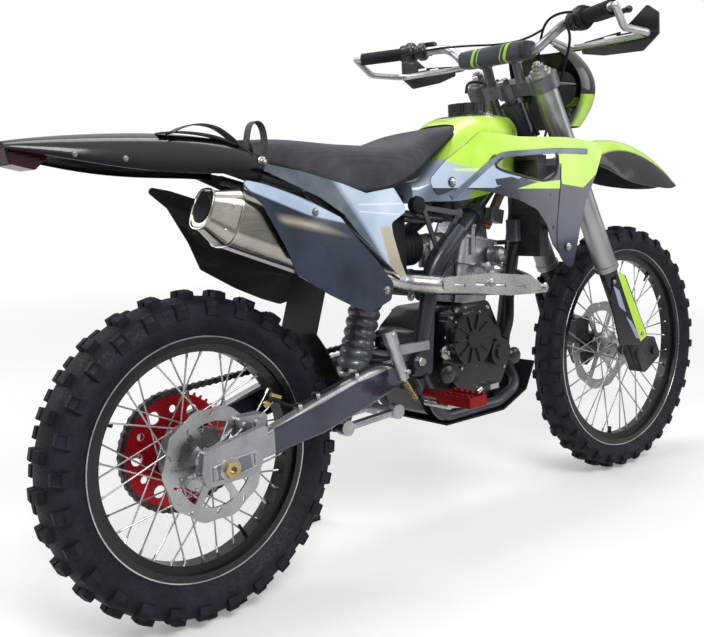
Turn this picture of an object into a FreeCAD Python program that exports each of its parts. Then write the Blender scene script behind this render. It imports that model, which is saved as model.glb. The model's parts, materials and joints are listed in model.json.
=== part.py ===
import FreeCAD, Part
import math
import os

# A trail motorcycle with a long front fork, leaning on its side stand.
# Millimetres. The machine is drawn upright, +X forward, +Y to its left, +Z up,
# with X = 0 at the rear axle, and is leaned and centred on the floor at the end.

V = FreeCAD.Vector

# Stance
wheelbase = 1405.0
stand_lean = 6.0
steering_rake = 27.0
fork_lead = 48.0
clamp_offset = 20.0

# Clearances
running_gap = 1.0
fit_gap = 0.3
room_gap = 4.0
tyre_gap = 12.0
overrun = 5.0
meeting_gap = 0.001

# Rear wheel
rear_tyre_radius = 332.0
rear_tyre_width = 122.0
rear_crown_radius = 84.0
rear_lug_height = 14.0
rear_lug_length = 27.0
rear_lug_rows = 28
rear_lip_radius = 243.0
rear_bead_radius = 230.0
rear_rim_width = 68.0
rear_hub_radius = 27.0
rear_flange_radius = 62.0
rear_flange_spread = 74.0
rear_hub_width = 122.0
rear_axle_radius = 12.5
rear_disc_radius = 113.0
rear_disc_offset = 76.0

# Front wheel
front_tyre_radius = 348.0
front_tyre_width = 92.0
front_crown_radius = 60.0
front_lug_height = 12.0
front_lug_length = 23.0
front_lug_rows = 32
front_lip_radius = 281.0
front_bead_radius = 268.0
front_rim_width = 52.0
front_hub_radius = 22.0
front_flange_radius = 45.0
front_flange_spread = 70.0
front_hub_width = 112.0
front_axle_radius = 11.0
front_disc_radius = 130.0
front_disc_offset = 58.0

# What both wheels share
carcass_shares = [(1.0, 0.34), (0.86, 0.76), (0.42, 0.90)]
middle_lug_share = 0.40
side_lug_shares = [(0.52, 0.0), (0.56, 1.0), (0.84, 1.0), (1.0, -0.15), (0.94, -1.25), (0.70, -1.1)]
lip_thickness = 3.0
rim_wall = 3.0
rim_well_depth = 16.0
bead_width = 9.0
spoke_count = 36
spoke_radius = 1.8
spoke_lacing = 62.0
spoke_head_step = 4.5
flange_thickness = 5.0
tread_edge_share = 0.84
disc_thickness = 4.0
disc_waves = 10
disc_wave_depth = 5.0
disc_band = 24.0
disc_arm_count = 6
disc_arm_width = 15.0
disc_slot_length = 13.0
disc_slot_width = 5.0

# Drive
chain_pitch = 15.875
chain_line = 74.0
chain_width = 13.0
chain_depth = 13.0
chain_waist_share = 0.62
rear_teeth = 48
front_teeth = 13
tooth_height = 2.4
sprocket_thickness = 5.0
sprocket_root_depth = 4.5
sprocket_holes = 12
sprocket_hole_radius = 13.0
sprocket_small_hole_radius = 8.0
sprocket_hole_place_share = 0.72
countershaft_lead = 78.0
countershaft_radius = 12.0

# Swingarm
swingarm_length = 515.0
pivot_height = 455.0
arm_spread = 109.0
arm_width = 30.0
arm_front_spread = 70.0
arm_front_width = 24.0
arm_tail = 52.0
arm_tail_height = 44.0
arm_height = 74.0
arm_front_height = 48.0
arm_nose = 30.0
arm_bend = 232.0
arm_taper = 9.0
arm_nose_drop = 9.0
arm_rise_shares = (0.04, 0.14, 0.46, 0.72)
arm_square_share = 0.5
axle_block_thickness = 6.0
axle_block_corner = (-60.0, 304.0)
axle_block_span = (156.0, 84.0)
axle_block_shares = [(0.04, 0.84), (0.0, 0.40), (0.05, 0.03), (0.72, 0.06), (0.99, 0.62), (0.95, 1.14)]
axle_block_bend = 7.0
bridge_gap = 10.0
bridge_length = 28.0
bridge_height = 50.0
pivot_bolt_radius = 14.0
pivot_cap_radius = 19.0
pivot_cap_depth = 6.0
axle_nut_radius = 17.0
axle_nut_width = 12.0
axle_head_width = 8.0
axle_bore_radius = 7.5
link_length = 148.0
link_drop = 128.0
link_radius = 9.0
link_eye_radius = 17.0
link_eye_half = 11.0
link_spread = 42.0
link_rear = 352.0

# Shock absorber
shock_low = (398.0, 388.0)
shock_high = (508.0, 716.0)
shock_eye_radius = 16.0
shock_eye_width = 30.0
shock_shaft_radius = 8.0
shock_body_radius = 25.0
shock_body_share = 0.42
shock_top_share = 0.93
shock_mount_corner = (494.0, 630.0)
shock_mount_span = (98.0, 102.0)
shock_mount_shares = [(1.0, 0.0), (1.0, 0.2), (0.46, 0.22), (0.45, 0.69), (0.31, 1.0), (0.04, 1.0), (0.0, 0.75),
                      (0.27, 0.69), (0.29, 0.10), (0.37, 0.0)]
shock_mount_width = 8.0
spring_radius = 37.0
spring_wire_radius = 5.5
spring_low_share = 0.16
spring_high_share = 0.80
spring_seat_share = 0.03
spring_coils = 9

# Frame
frame_tube_radius = 19.0
spar_radius = 17.0
spar_spread = 101.0
spar_high = (796.0, 806.0)
spar_high_spread = 62.0
spar_low = (625.0, 690.0)
spar_foot = (583.0, 640.0)
spar_bend = 80.0
tank_collar_shares = (0.28, 0.38)
head_tube_radius = 31.0
head_tube_length = 150.0
head_height = 965.0
lower_spar_width = 34.0
lower_spar_thickness = 16.0
down_tube_foot = (905.0, 400.0)
down_tube_set_share = 0.85
cradle_low = 308.0
cradle_spread = 80.0
cradle_radius = 14.0
cradle_bend = 60.0
cradle_front = 800.0
cradle_rear = 600.0

# Seat, and the subframe under it
seat_rear = 122.0
seat_front = 722.0
seat_low_height = 832.0
seat_rise = 142.0
seat_half_width = 124.0
seat_stations_shares = [(0.0, 0.77, 0.50, 0.80), (0.15, 0.90, 0.33, 0.80), (0.40, 1.0, 0.0, 0.72),
                        (0.62, 0.95, 0.13, 0.71), (0.80, 0.77, 0.51, 0.89), (1.0, 0.48, 0.915, 1.0)]
seat_section_shares = [(1.0, 0.0), (1.0, 0.35), (0.92, 0.75), (0.70, 0.94), (0.35, 0.99), (0.0, 1.0)]
subframe_radius = 9.0
subframe_spread = 72.0
subframe_bend = 100.0
subframe_tie_radius = 7.0
subframe_tie_share = 0.04
seat_post = 375.0
subframe_rear = 150.0
subframe_rear_rise = 40.0
subframe_mid = 400.0
subframe_mid_drop = 32.0
subframe_front = 640.0
subframe_front_drop = 72.0
strut_rear = 260.0
strut_foot_drop = 50.0
strut_foot_set = 20.0

# Engine
case_half = 60.0
case_corner = (548.0, 300.0)
case_span = (300.0, 258.0)
case_shares = [(0.0, 0.30), (0.0, 0.82), (0.20, 1.0), (0.84, 1.0), (1.0, 0.62), (1.0, 0.30), (0.86, 0.06),
               (0.30, 0.0), (0.10, 0.06)]
case_bend = 26.0
side_case_corner = (590.0, 352.0)
side_case_span = (225.0, 206.0)
side_case_shares = [(0.0, 0.35), (0.10, 0.95), (0.60, 1.0), (0.90, 0.60), (1.0, 0.30), (0.85, 0.02), (0.30, 0.0)]
side_case_depth = 46.0
side_case_bend = 30.0
clutch_centre = (672.0, 485.0)
clutch_radius = 63.0
clutch_depth = 24.0
clutch_cap_share = 0.34
clutch_rib_count = 10
clutch_rib_width = 5.0
clutch_rib_height = 4.0
clutch_rib_shares = (0.36, 0.90)
pump_centre = (770.0, 440.0)
pump_radius = 33.0
pump_depth = 18.0
pump_cap_share = 0.55
ignition_centre = (770.0, 440.0)
ignition_radius = 58.0
ignition_depth = 32.0
cylinder_tilt = 12.0
cylinder_base = (742.0, 552.0)
cylinder_width = 122.0
cylinder_length = 118.0
cylinder_height = 96.0
cylinder_bend_share = 0.35
head_extra = 10.0
head_height_own = 62.0
joint_flange = 5.0
joint_thickness = 6.0
cover_height = 34.0
cover_inset = 14.0
throttle_setback = 34.0
throttle_radius = 26.0
throttle_length = 96.0
throttle_height = 700.0
throttle_flange = 6.0
throttle_wheel_radius = 20.0
throttle_wheel_width = 7.0
bowl_share = 0.8
boot_radius = 40.0
boot_rib = 4.0
boot_ribs = 6
airbox_corner = (315.0, 640.0)
airbox_front = 540.0
airbox_seat_gap = 10.0
airbox_half = 58.0
airbox_bend = 10.0
airbox_shares = [(0.0, 0.14), (0.0, 1.0), (1.0, 1.0), (1.0, 0.0), (0.45, 0.0)]

# Exhaust
header_radius = 21.0
header_bend = 60.0
header_start = (802.0, 645.0)
header_nose = (880.0, 622.0)
header_turn = (898.0, 592.0)
header_turn_side = 100.0
header_front = (850.0, 590.0)
header_middle = (700.0, 604.0)
header_rear = (560.0, 620.0)
header_dip = (490.0, 632.0)
header_end = (390.0, 660.0)
header_side = 141.0
header_inside = 104.0
shield_thickness = 2.0
shield_corner = (548.0, 566.0)
shield_span = (336.0, 74.0)
shield_shares = [(0.0, 1.0), (0.46, 0.92), (0.85, 0.69), (1.0, 0.29), (1.0, 0.05), (0.64, 0.14), (0.0, 0.60)]
shield_bend = 8.0
shield_slots_shares = [(0.10, 0.70), (0.30, 0.62), (0.50, 0.50), (0.70, 0.38)]
shield_slot_length = 34.0
shield_slot_height = 7.0
silencer_tail = (-12.0, 818.0)
silencer_front = (290.0, 702.0)
silencer_side = 118.0
silencer_width = 92.0
silencer_height = 108.0
silencer_cap = 64.0
silencer_outlet_radius = 17.0
silencer_stations_shares = [(0.0, 0.62), (0.16, 1.0), (0.85, 1.0), (1.0, 0.55)]
silencer_square_share = 0.7

# Bodywork
tank_rear = 566.0
tank_front = 962.0
tank_low = 800.0
tank_rise = 201.0
tank_half_width = 114.0
tank_stations_shares = [(0.0, 0.53, 0.0, 0.25), (0.20, 0.81, 0.0, 0.48), (0.40, 0.98, 0.03, 0.92),
                        (0.65, 1.0, 0.15, 1.0), (0.85, 0.61, 0.30, 0.995), (1.0, 0.26, 0.50, 0.92)]
tank_section_shares = [(1.0, 0.0), (1.0, 0.40), (0.90, 0.78), (0.62, 0.95), (0.30, 1.0), (0.0, 1.0)]
cap_radius = 45.0
cap_centre = 815.0
cap_height = 26.0
cap_sink = 15.0
cap_ribs = 12
cap_groove_radius = 4.0
cap_rim_height = 6.0
panel_thickness = 3.0
side_panel_corner = (20.0, 588.0)
side_panel_span = (405.0, 282.0)
side_panel_spread = 178.0
side_panel_draw = 38.0
side_panel_bend = 12.0
side_panel_shares = [(0.0, 1.0), (0.17, 0.95), (0.38, 0.85), (0.61, 0.70), (0.73, 0.53), (0.86, 0.37), (1.0, 0.18),
                     (0.97, 0.06), (0.79, 0.0), (0.68, 0.06), (0.52, 0.17), (0.32, 0.34), (0.26, 0.55), (0.15, 0.82)]
mid_panel_rear = 115.0
mid_panel_drop = 209.0
mid_panel_span = (363.0, 271.0)
mid_panel_spread = 132.0
mid_panel_bend = 10.0
mid_panel_posts = (250.0, 400.0)
panel_post_radius = 6.0
panel_post_shares = (0.50, 0.78)
stay_shares = (0.50, 0.72)
mid_panel_shares = [(0.03, 1.0), (0.25, 0.94), (0.52, 0.84), (0.69, 0.76), (0.90, 0.79), (1.0, 0.61), (0.87, 0.52),
                    (0.88, 0.43), (0.93, 0.22), (1.0, 0.0), (0.79, 0.26), (0.63, 0.45), (0.53, 0.61), (0.36, 0.75),
                    (0.0, 0.96)]
shroud_corner = (560.0, 612.0)
shroud_span = (552.0, 340.0)
shroud_rear_spread = 134.0
shroud_front_spread = 192.0
shroud_top_inset = 26.0
shroud_bend = 14.0
shroud_post_shares = (0.28, 0.60)
shroud_shares = [(0.28, 1.0), (0.49, 0.96), (0.76, 0.95), (0.97, 0.91), (1.0, 0.84), (0.93, 0.67), (0.85, 0.50),
                 (0.80, 0.33), (0.73, 0.0), (0.62, 0.21), (0.59, 0.35), (0.54, 0.46), (0.45, 0.53), (0.32, 0.59),
                 (0.14, 0.64), (0.03, 0.59), (0.0, 0.70), (0.09, 0.82), (0.20, 0.92)]
vent_corner = (722.0, 838.0)
vent_span = (221.0, 66.0)
vent_bend = 10.0
vent_shares = [(0.0, 0.70), (0.09, 0.92), (0.51, 0.95), (1.0, 1.0), (1.0, 0.33), (0.74, 0.0), (0.49, 0.06)]
radiator_front = 925.0
radiator_depth = 32.0
radiator_inner = 52.0
radiator_width = 96.0
radiator_low = 655.0
radiator_height = 240.0
radiator_rim = 9.0
radiator_recess = 5.0
radiator_stay_shares = (0.12, 0.78)
radiator_stay_radius = 6.0
fender_thickness = 4.0
fender_section_shares = [(1.0, 0.0), (0.97, 0.45), (0.80, 0.80), (0.45, 0.96), (0.0, 1.0)]
rear_fender_tail = -332.0
rear_fender_front = 150.0
rear_fender_low = 872.0
rear_fender_rise = 89.0
rear_fender_half = 108.0
rear_fender_stations_shares = [(0.0, 0.41, 0.70, 0.865), (0.19, 0.69, 0.49, 0.955), (0.50, 0.87, 0.20, 1.0),
                               (0.78, 0.96, 0.09, 0.91), (1.0, 1.0, 0.0, 0.63)]
lamp_corner = (-326.0, 899.0)
lamp_span = (90.0, 46.0)
lamp_half_width = 32.0
lamp_bend = 5.0
lamp_shares = [(0.0, 1.0), (0.09, 0.22), (0.52, 0.0), (0.81, 0.51), (1.0, 1.0)]
tray_rear = -215.0
tray_length = 120.0
tray_half_width = 52.0
tray_height = 924.0
tray_thickness = 5.0
tray_rib = 9.0
tray_rib_rise = 28.0
flap_thickness = 3.0
flap_half_width = 62.0
flap_turns = (17.0, 24.0, 31.0, 38.0)
flap_lap = 34.0
skid_half_width = 98.0
skid_rear = 545.0
skid_thickness = 4.0

# Rider's feet
peg_place = (532.0, 382.0)
peg_inner = 168.0
peg_length = 100.0
peg_width = 52.0
peg_height = 22.0
peg_wall = 6.0
peg_teeth = 6
peg_tooth_height = 5.0
peg_tooth_length = 7.0
peg_bracket_radius = 11.0
pedal_side = 150.0
pedal_pivot = (560.0, 352.0)
pedal_knee = (610.0, 345.0)
pedal_tip = (672.0, 382.0)
pedal_step = 8.0
pedal_arm_radius = 6.0
pedal_bend = 30.0
pedal_boss_radius = 8.0
pedal_tread_half = 14.0
pedal_tread_width = 38.0
pedal_tread_thickness = 12.0
lever_side = 132.0
lever_pivot = (614.0, 390.0)
lever_knee = (645.0, 386.0)
lever_tip = (690.0, 392.0)
lever_step = 6.0
lever_tread_length = 34.0
lever_tread_radius = 8.0
lever_shaft_radius = 7.0
side_stand_pivot = (400.0, 348.0)
side_stand_side = 142.0
side_stand_foot_lead = 40.0
side_stand_foot_side = 248.0
side_stand_radius = 11.0
side_stand_foot_length = 64.0
side_stand_foot_width = 40.0
side_stand_foot_thickness = 12.0
side_stand_axis_tilt = 15.0
side_stand_eye_half = 11.0
side_stand_eye_radius = 17.0
side_stand_bolt_radius = 6.0
side_stand_head_share = 0.8
side_stand_lug = 42.0
side_stand_post_radius = 7.0
side_stand_post = 74.0

cover_shares = [(-0.62, -1.0), (0.8, -1.0), (1.1, 0.0), (0.8, 1.0), (-0.62, 1.0)]
cover_depth = 12.0
cover_bend = 12.0
cover_post_share = 1.04

# Brake calipers
caliper_turn = 36.0
caliper_overhang = 10.0
caliper_half_length = 34.0
caliper_half_height = 21.0
caliper_half_depth = 15.0
caliper_bend = 9.0
piston_radius = 12.0
piston_depth = 5.0
hanger_thickness = 6.0
hanger_radius = 24.0
master_low = (451.0, 430.0)
master_high = (412.0, 540.0)
master_side = 128.0
master_radius = 13.0
master_cap_radius = 16.0
master_cap_share = 0.3
master_bracket_corner = (425.0, 480.0)
master_bracket_span = (112.0, 20.0)
master_bracket_thickness = 14.0
hanger_half_shares = (0.8, 0.6)
piston_spread_share = 0.42
front_caliper_turn = 150.0
front_caliper_inset = 10.0
front_caliper_half_length = 30.0
front_caliper_half_height = 36.0
front_caliper_inner = 16.0

# Fork and bars
fork_spread = 98.0
outer_low = 300.0
outer_high = 862.0
outer_radius = 29.0
slider_radius = 24.0
slider_overlap = 220.0
outer_seal_height = 14.0
outer_seal_extra = 3.0
fork_cap_radius = 22.0
fork_cap_height = 8.0
fork_cap_depth = 60.0
lower_clamp_place = 610.0
upper_clamp_place = 836.0
clamp_height = 34.0
clamp_wall = 10.0
clamp_boss = 26.0
stem_radius = 15.5
axle_clamp_width = 44.0
axle_clamp_height = 78.0
axle_clamp_drop = 30.0
axle_clamp_bend = 12.0
front_axle_step = 6.0
guard_corner = (1200.0, 375.0)
guard_span = (171.0, 209.0)
guard_shares = [(0.09, 0.87), (0.22, 1.0), (0.40, 0.95), (1.0, 0.07), (0.78, 0.0), (0.24, 0.06), (0.0, 0.67)]
guard_thickness = 4.0
guard_bend = 12.0
bar_radius = 14.0
grip_bar_radius = 11.0
bar_height = 1142.0
bar_set = 940.0
bar_end = (838.0, 400.0, 1186.0)
bar_rise = (950.0, 186.0, 1190.0)
bar_centre_half = 112.0
bar_bend = 50.0
bar_thick_share = 0.8
bar_mount_spread = 48.0
bar_mount_radius = 12.5
bar_mount_half = 13.0
bar_mount_wall = 8.0
pad_half_length = 108.0
pad_half_depth = 30.0
pad_half_height = 23.0
pad_rise = 4.0
pad_set = 12.0
pad_square_share = 0.8
grip_length = 118.0
grip_radius = 16.0
grip_flange_radius = 22.0
grip_flange = 4.0
perch_gap = 8.0
perch_half = 14.0
perch_wall = 7.0
perch_reach = 34.0
perch_arm_radius = 9.0
housing_length = 30.0
housing_wall = 12.0
lever_reach = 62.0
lever_radius = 6.0
lever_bow = 22.0
lever_bow_place = 40.0
lever_ball_radius = 8.0
guard_bow_radius = 8.0
guard_bow_bend = 30.0
guard_bow_side = (872.0, 406.0, 1146.0)
guard_bow_front = (985.0, 398.0, 1142.0)
guard_bow_inner = (1000.0, 170.0, 1140.0)
guard_bow_foot = (950.0, 152.0, 1160.0)
hand_shield_low = 1108.0
hand_shield_rise = 98.0
hand_shield_inner = 205.0
hand_shield_outer = 412.0
hand_shield_shares = [(0.0, 0.16), (0.04, 0.42), (0.55, 0.52), (0.86, 1.0), (1.0, 0.78), (1.0, 0.32),
                      (0.80, 0.0), (0.30, 0.04)]
hand_shield_thickness = 4.0
hand_shield_slots_shares = [(0.30, 0.40), (0.52, 0.46)]
hand_shield_slot_length = 36.0
hand_shield_slot_height = 6.0
hand_shield_bend = 6.0
guard_bow_set = 18.0
mask_low = 968.0
mask_rise = 197.0
mask_front = 1222.0
mask_half_width = 110.0
mask_sweep = 118.0
mask_bow = 24.0
mask_bow_share = 0.72
mask_stations_shares = [(0.0, -0.05, 0.60), (0.45, 0.12, 1.0), (1.0, -0.42, 0.66)]
mask_thickness = 4.0
lamp_radius = 46.0
lamp_depth = 40.0
lamp_place_share = 0.52
mask_arm_radius = 5.0
mask_arm_share = 0.35
front_fender_rear = 1062.0
front_fender_tip = 1672.0
front_fender_low = 793.0
front_fender_rise = 143.0
front_fender_half = 66.0
fender_boss = 14.0
fender_boss_radius = 20.0
front_fender_section_shares = [(1.0, 0.0), (0.96, 0.50), (0.72, 0.86), (0.36, 0.98), (0.0, 1.0)]
front_fender_stations_shares = [(0.0, 0.61, 0.20, 0.28), (0.13, 0.85, 0.37, 0.525), (0.31, 1.0, 0.49, 0.90),
                                (0.49, 1.0, 0.245, 1.0), (0.70, 0.95, 0.07, 0.79), (0.86, 0.76, 0.0, 0.47),
                                (1.0, 0.42, 0.02, 0.13)]


def wheel_height(radius, crown):
    """Height of an axle whose leaning tyre just touches the floor."""
    return radius - crown + crown / math.cos(math.radians(stand_lean))


rear_axle_height = wheel_height(rear_tyre_radius, rear_crown_radius)
front_axle_height = wheel_height(front_tyre_radius, front_crown_radius)
rear_axle_place = V(0, 0, rear_axle_height)
front_axle_place = V(wheelbase, 0, front_axle_height)
pivot_place = V(swingarm_length, 0, pivot_height)

rake = math.radians(steering_rake)
fork_up = V(-math.sin(rake), 0, math.cos(rake))
fork_ahead = V(math.cos(rake), 0, math.sin(rake))
fork_foot = front_axle_place - fork_ahead * fork_lead
steering_foot = fork_foot - fork_ahead * clamp_offset
head_centre = steering_foot + fork_up * ((head_height - steering_foot.z) / fork_up.z)

rear_pitch_radius = chain_pitch / 2 / math.sin(math.pi / rear_teeth)
front_pitch_radius = chain_pitch / 2 / math.sin(math.pi / front_teeth)
countershaft_place = pivot_place + V(countershaft_lead, 0, 0)


def middle_point(place):
    """Point in the machine's middle plane from its place along and its height."""
    return V(place[0], 0, place[1])


def side_point(place, side):
    """Point at a distance to the left of the middle plane."""
    return V(place[0], side, place[1])


def fork_point(along, side=0.0, ahead=0.0):
    """Point by its distance up the fork, to the left, and ahead of the fork tubes."""
    return fork_foot + fork_up * along + fork_ahead * ahead + V(0, side, 0)


def placed(corner, span, shares):
    """Side-view points from shares of a piece's own length and height."""
    return [(corner[0] + span[0] * u, corner[1] + span[1] * w) for u, w in shares]


def side_wire(points, side):
    """Closed outline in a plane across the machine."""
    corners = [V(x, side, z) for x, z in points]
    return Part.makePolygon(corners + corners[:1])


def slab(points, first, last):
    """Solid of a side-view outline between two planes."""
    face = Part.Face(side_wire(points, first))
    return face.extrude(V(0, last - first, 0))


def rod(start, end, radius):
    """Round bar between two points."""
    return Part.makeCylinder(radius, (end - start).Length, start, end - start)


def sleeve(start, end, radius, bore):
    """Round tube between two points."""
    reach = (end - start).normalize() * overrun
    return rod(start, end, radius).cut(rod(start - reach, end + reach, bore))


def cross_rod(centre, half_length, radius):
    """Round bar across the machine, centred on a point."""
    return rod(centre - V(0, half_length, 0), centre + V(0, half_length, 0), radius)


def box(low, high):
    """Box between two opposite corners."""
    return Part.makeBox(high.x - low.x, high.y - low.y, high.z - low.z, low)


def mirrored(shape):
    """The same piece on the other side of the machine."""
    return shape.mirror(V(0, 0, 0), V(0, 1, 0))


def both(shape):
    """A piece and its mirror image as separate solids."""
    return Part.Compound([shape, mirrored(shape)])


def joined(shapes):
    """One solid of pieces that overlap."""
    return shapes[0].fuse(shapes[1:]).removeSplitter()


def corner_arc(before, here, after, bend):
    """Start, middle and end of the arc that rounds a corner, or None where it is straight."""
    back = before - here
    front = after - here
    half = back.getAngle(front) / 2
    if half > math.pi / 2 - 0.01:
        return None
    reach = min(bend / math.tan(half), 0.45 * back.Length, 0.45 * front.Length)
    radius = reach * math.tan(half)
    back.normalize()
    front.normalize()
    inward = (back + front).normalize()
    middle = here + inward * (radius / math.sin(half) - radius)
    return here + back * reach, middle, here + front * reach


def path(points, bend):
    """Straight runs joined by tangent arcs."""
    edges = []
    last = points[0]
    for before, here, after in zip(points, points[1:], points[2:]):
        arc = corner_arc(before, here, after, bend)
        if arc is None:
            continue
        edges.append(Part.LineSegment(last, arc[0]).toShape())
        edges.append(Part.Arc(*arc).toShape())
        last = arc[2]
    edges.append(Part.LineSegment(last, points[-1]).toShape())
    return Part.Wire(edges)


def pipe(points, radius, bend):
    """Round bar along a bent path."""
    start = Part.makeCircle(radius, points[0], points[1] - points[0])
    return path(points, bend).makePipeShell([Part.Wire(start)], True, False)


def rounded_outline(points, side, bend):
    """Closed side-view outline whose corners are rounded."""
    corners = [V(x, side, z) for x, z in points]
    count = len(corners)
    arcs = [corner_arc(corners[i - 1], corners[i], corners[(i + 1) % count], bend) for i in range(count)]
    edges = []
    last = None
    first = None
    for here, arc in zip(corners, arcs):
        start, end = (here, here) if arc is None else (arc[0], arc[2])
        if last is None:
            first = start
        elif (start - last).Length > meeting_gap:
            edges.append(Part.LineSegment(last, start).toShape())
        if arc is not None:
            edges.append(Part.Arc(*arc).toShape())
        last = end
    edges.append(Part.LineSegment(last, first).toShape())
    return Part.Wire(edges)


def rounded_slab(points, first, last, bend):
    """Solid of a rounded side-view outline between two planes."""
    face = Part.Face(rounded_outline(points, first, bend))
    return face.extrude(V(0, last - first, 0))


def loft(wires):
    """Smooth solid through closed sections."""
    return Part.makeLoft(wires, True, False)


def arch_wire(x, half_width, low, top, shares):
    """Section across the machine: a curve over the top, closed by a level line below."""
    half = [V(x, half_width * u, low + (top - low) * w) for u, w in shares]
    other = [V(point.x, -point.y, point.z) for point in reversed(half[:-1])]
    curve = Part.BSplineCurve()
    curve.interpolate(half + other)
    base = Part.LineSegment(other[-1], half[0])
    return Part.Wire([curve.toShape(), base.toShape()])


def oval_wire(centre, along, side, half_side, half_other, square_share):
    """Rounded rectangle about a centre, square to a direction."""
    other = along.cross(side).normalize()
    corners = []
    for a, b in ((1, 1), (-1, 1), (-1, -1), (1, -1)):
        corners.append(centre + side * (a * half_side) + other * (b * half_other))
    bend = square_share * min(half_side, half_other)
    arcs = [corner_arc(corners[i - 1], corners[i], corners[(i + 1) % 4], bend) for i in range(4)]
    edges = []
    for i in range(4):
        edges.append(Part.Arc(*arcs[i]).toShape())
        edges.append(Part.LineSegment(arcs[i][2], arcs[(i + 1) % 4][0]).toShape())
    return Part.Wire(edges)


def arch_loft(start, length, half_width, low, rise, stations_shares, section_shares, inset=0.0):
    """Solid through arched sections: each share of the length has its width, lower edge and crown."""
    sections = []
    for share, half, bottom, top in stations_shares:
        x = start + length * share
        if inset:
            x += overrun if share == stations_shares[-1][0] else 0
            x -= overrun if share == stations_shares[0][0] else 0
        floor = low + rise * bottom - (overrun if inset else 0)
        sections.append(arch_wire(x, half_width * half - inset, floor, low + rise * top - inset, section_shares))
    return loft(sections)


def curved_plate(points, spread_at, thickness, bend):
    """Plate of a side-view outline, laid on the surface whose distance from the middle is given."""
    xs = [x for x, z in points]
    zs = [z for x, z in points]
    steps = 6
    grid = []
    for i in range(steps):
        x = min(xs) - overrun + (max(xs) - min(xs) + 2 * overrun) * i / (steps - 1)
        row = []
        for j in range(steps):
            z = min(zs) - overrun + (max(zs) - min(zs) + 2 * overrun) * j / (steps - 1)
            row.append(V(x, -spread_at(x, z), z))
        grid.append(row)
    surface = Part.BSplineSurface()
    surface.interpolate(grid)
    skin = surface.toShape().extrude(V(0, thickness, 0))
    reach = max(spread_at(x, z) for x, z in points) + 2 * overrun
    return rounded_slab(points, -reach, 0, bend).common(skin)


def turned(profile, centre):
    """Ring of a section given as (distance from the axle, place across), about a wheel's axle."""
    corners = [V(radius, side, 0) for radius, side in profile]
    face = Part.Face(Part.makePolygon(corners + corners[:1]))
    ring = face.revolve(V(0, 0, 0), V(0, 1, 0), 360)
    ring.translate(centre)
    return ring


def crown_drop(crown, side):
    """How far a rounded tread lies below its middle at a distance to the side."""
    return crown - math.sqrt(crown * crown - side * side)


def lug_ring(outline, length, rows, first_turn):
    """Blocks of one outline (distance from the axle, place across), spaced evenly about it."""
    corners = [V(distance, side, -length / 2) for distance, side in outline]
    block = Part.Face(Part.makePolygon(corners + corners[:1])).extrude(V(0, 0, length))
    ring = []
    for index in range(rows):
        lug = block.copy()
        lug.rotate(V(0, 0, 0), V(0, 1, 0), first_turn + 360 * index / rows)
        ring.append(lug)
    return ring


def tyre(centre, radius, width, crown, lug, lip, bead, rim_width):
    """Carcass that seats in the rim, with rows of middle blocks and of side blocks between them."""
    lug_height, lug_length, rows = lug
    inner = rim_width / 2 - lip_thickness
    half = width / 2
    section = radius - lug_height - lip
    outer = [(lip + section * rise, half * wide) for rise, wide in carcass_shares]
    profile = outer + [(lip, inner), (bead, inner)]
    mirror = [(distance, -side) for distance, side in reversed(profile)]
    carcass = turned(profile + mirror, V(0, 0, 0))
    contact = crown * math.sin(math.radians(stand_lean))
    edge = half * middle_lug_share
    root = radius - lug_height - crown_drop(crown, edge) - lug_height / 2
    top = [(radius - crown_drop(crown, side), side) for side in (-edge, -contact, contact, edge)]
    lugs = lug_ring([(root, -edge)] + top + [(root, edge)], lug_length, rows, 90)
    tip = radius - crown_drop(crown, half * tread_edge_share)
    side_lug = [(tip - lug_height * (1 - rise), half * wide) for wide, rise in side_lug_shares]
    other = [(distance, -side) for distance, side in side_lug]
    for outline in (side_lug, other):
        lugs += lug_ring(outline, lug_length, rows, 90 + 180 / rows)
    whole = carcass.fuse(lugs)
    whole.translate(centre)
    return whole


def rim(centre, lip, bead, rim_width):
    """Thin channel with a lip on each side and a well in the middle."""
    outer = rim_width / 2
    inner = outer - lip_thickness
    shelf = inner - bead_width
    well = shelf - rim_wall
    half = [(lip, outer), (lip, inner), (bead, inner), (bead, shelf), (bead - rim_well_depth, well)]
    under = [(bead - rim_well_depth - rim_wall, well), (bead - rim_wall, shelf), (bead - rim_wall, outer)]
    other = [(distance, -side) for distance, side in reversed(half)]
    other_under = [(distance, -side) for distance, side in reversed(under)]
    return turned(half + other + other_under + under, centre)


def hub(centre, barrel, flange, spread, width, bore):
    """Barrel with two spoke flanges and a bore for the axle."""
    inner = spread / 2 - flange_thickness
    half = [(bore, width / 2), (barrel, width / 2), (barrel + flange_thickness, spread / 2), (flange, spread / 2),
            (flange, inner), (barrel + flange_thickness, inner - flange_thickness), (barrel, inner / 2)]
    other = [(distance, -side) for distance, side in reversed(half)]
    return turned(half + other, centre)


def spokes(centre, flange, spread, rim_under):
    """Laced spokes, alternately left and right, leading and trailing."""
    pieces = []
    reach = rim_under
    for index in range(spoke_count):
        side = 1 if index % 2 == 0 else -1
        lead = 1 if index // 2 % 2 == 0 else -1
        rim_turn = math.tau * index / spoke_count
        hub_turn = rim_turn + lead * math.radians(spoke_lacing)
        hub_side = side * (spread / 2 - flange_thickness / 2) + lead * spoke_head_step / 2
        hub_radius = flange - 2 * spoke_radius
        low = V(hub_radius * math.cos(hub_turn), hub_side, hub_radius * math.sin(hub_turn))
        high = V(reach * math.cos(rim_turn), side * 2 * spoke_radius, reach * math.sin(rim_turn))
        pieces.append(rod(centre + low, centre + high, spoke_radius))
    return pieces


def trimmed(pieces, carriers):
    """Pieces cut to end on the faces of what carries them."""
    return Part.Compound([max(piece.cut(carriers).Solids, key=lambda solid: solid.Volume) for piece in pieces])


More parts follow.
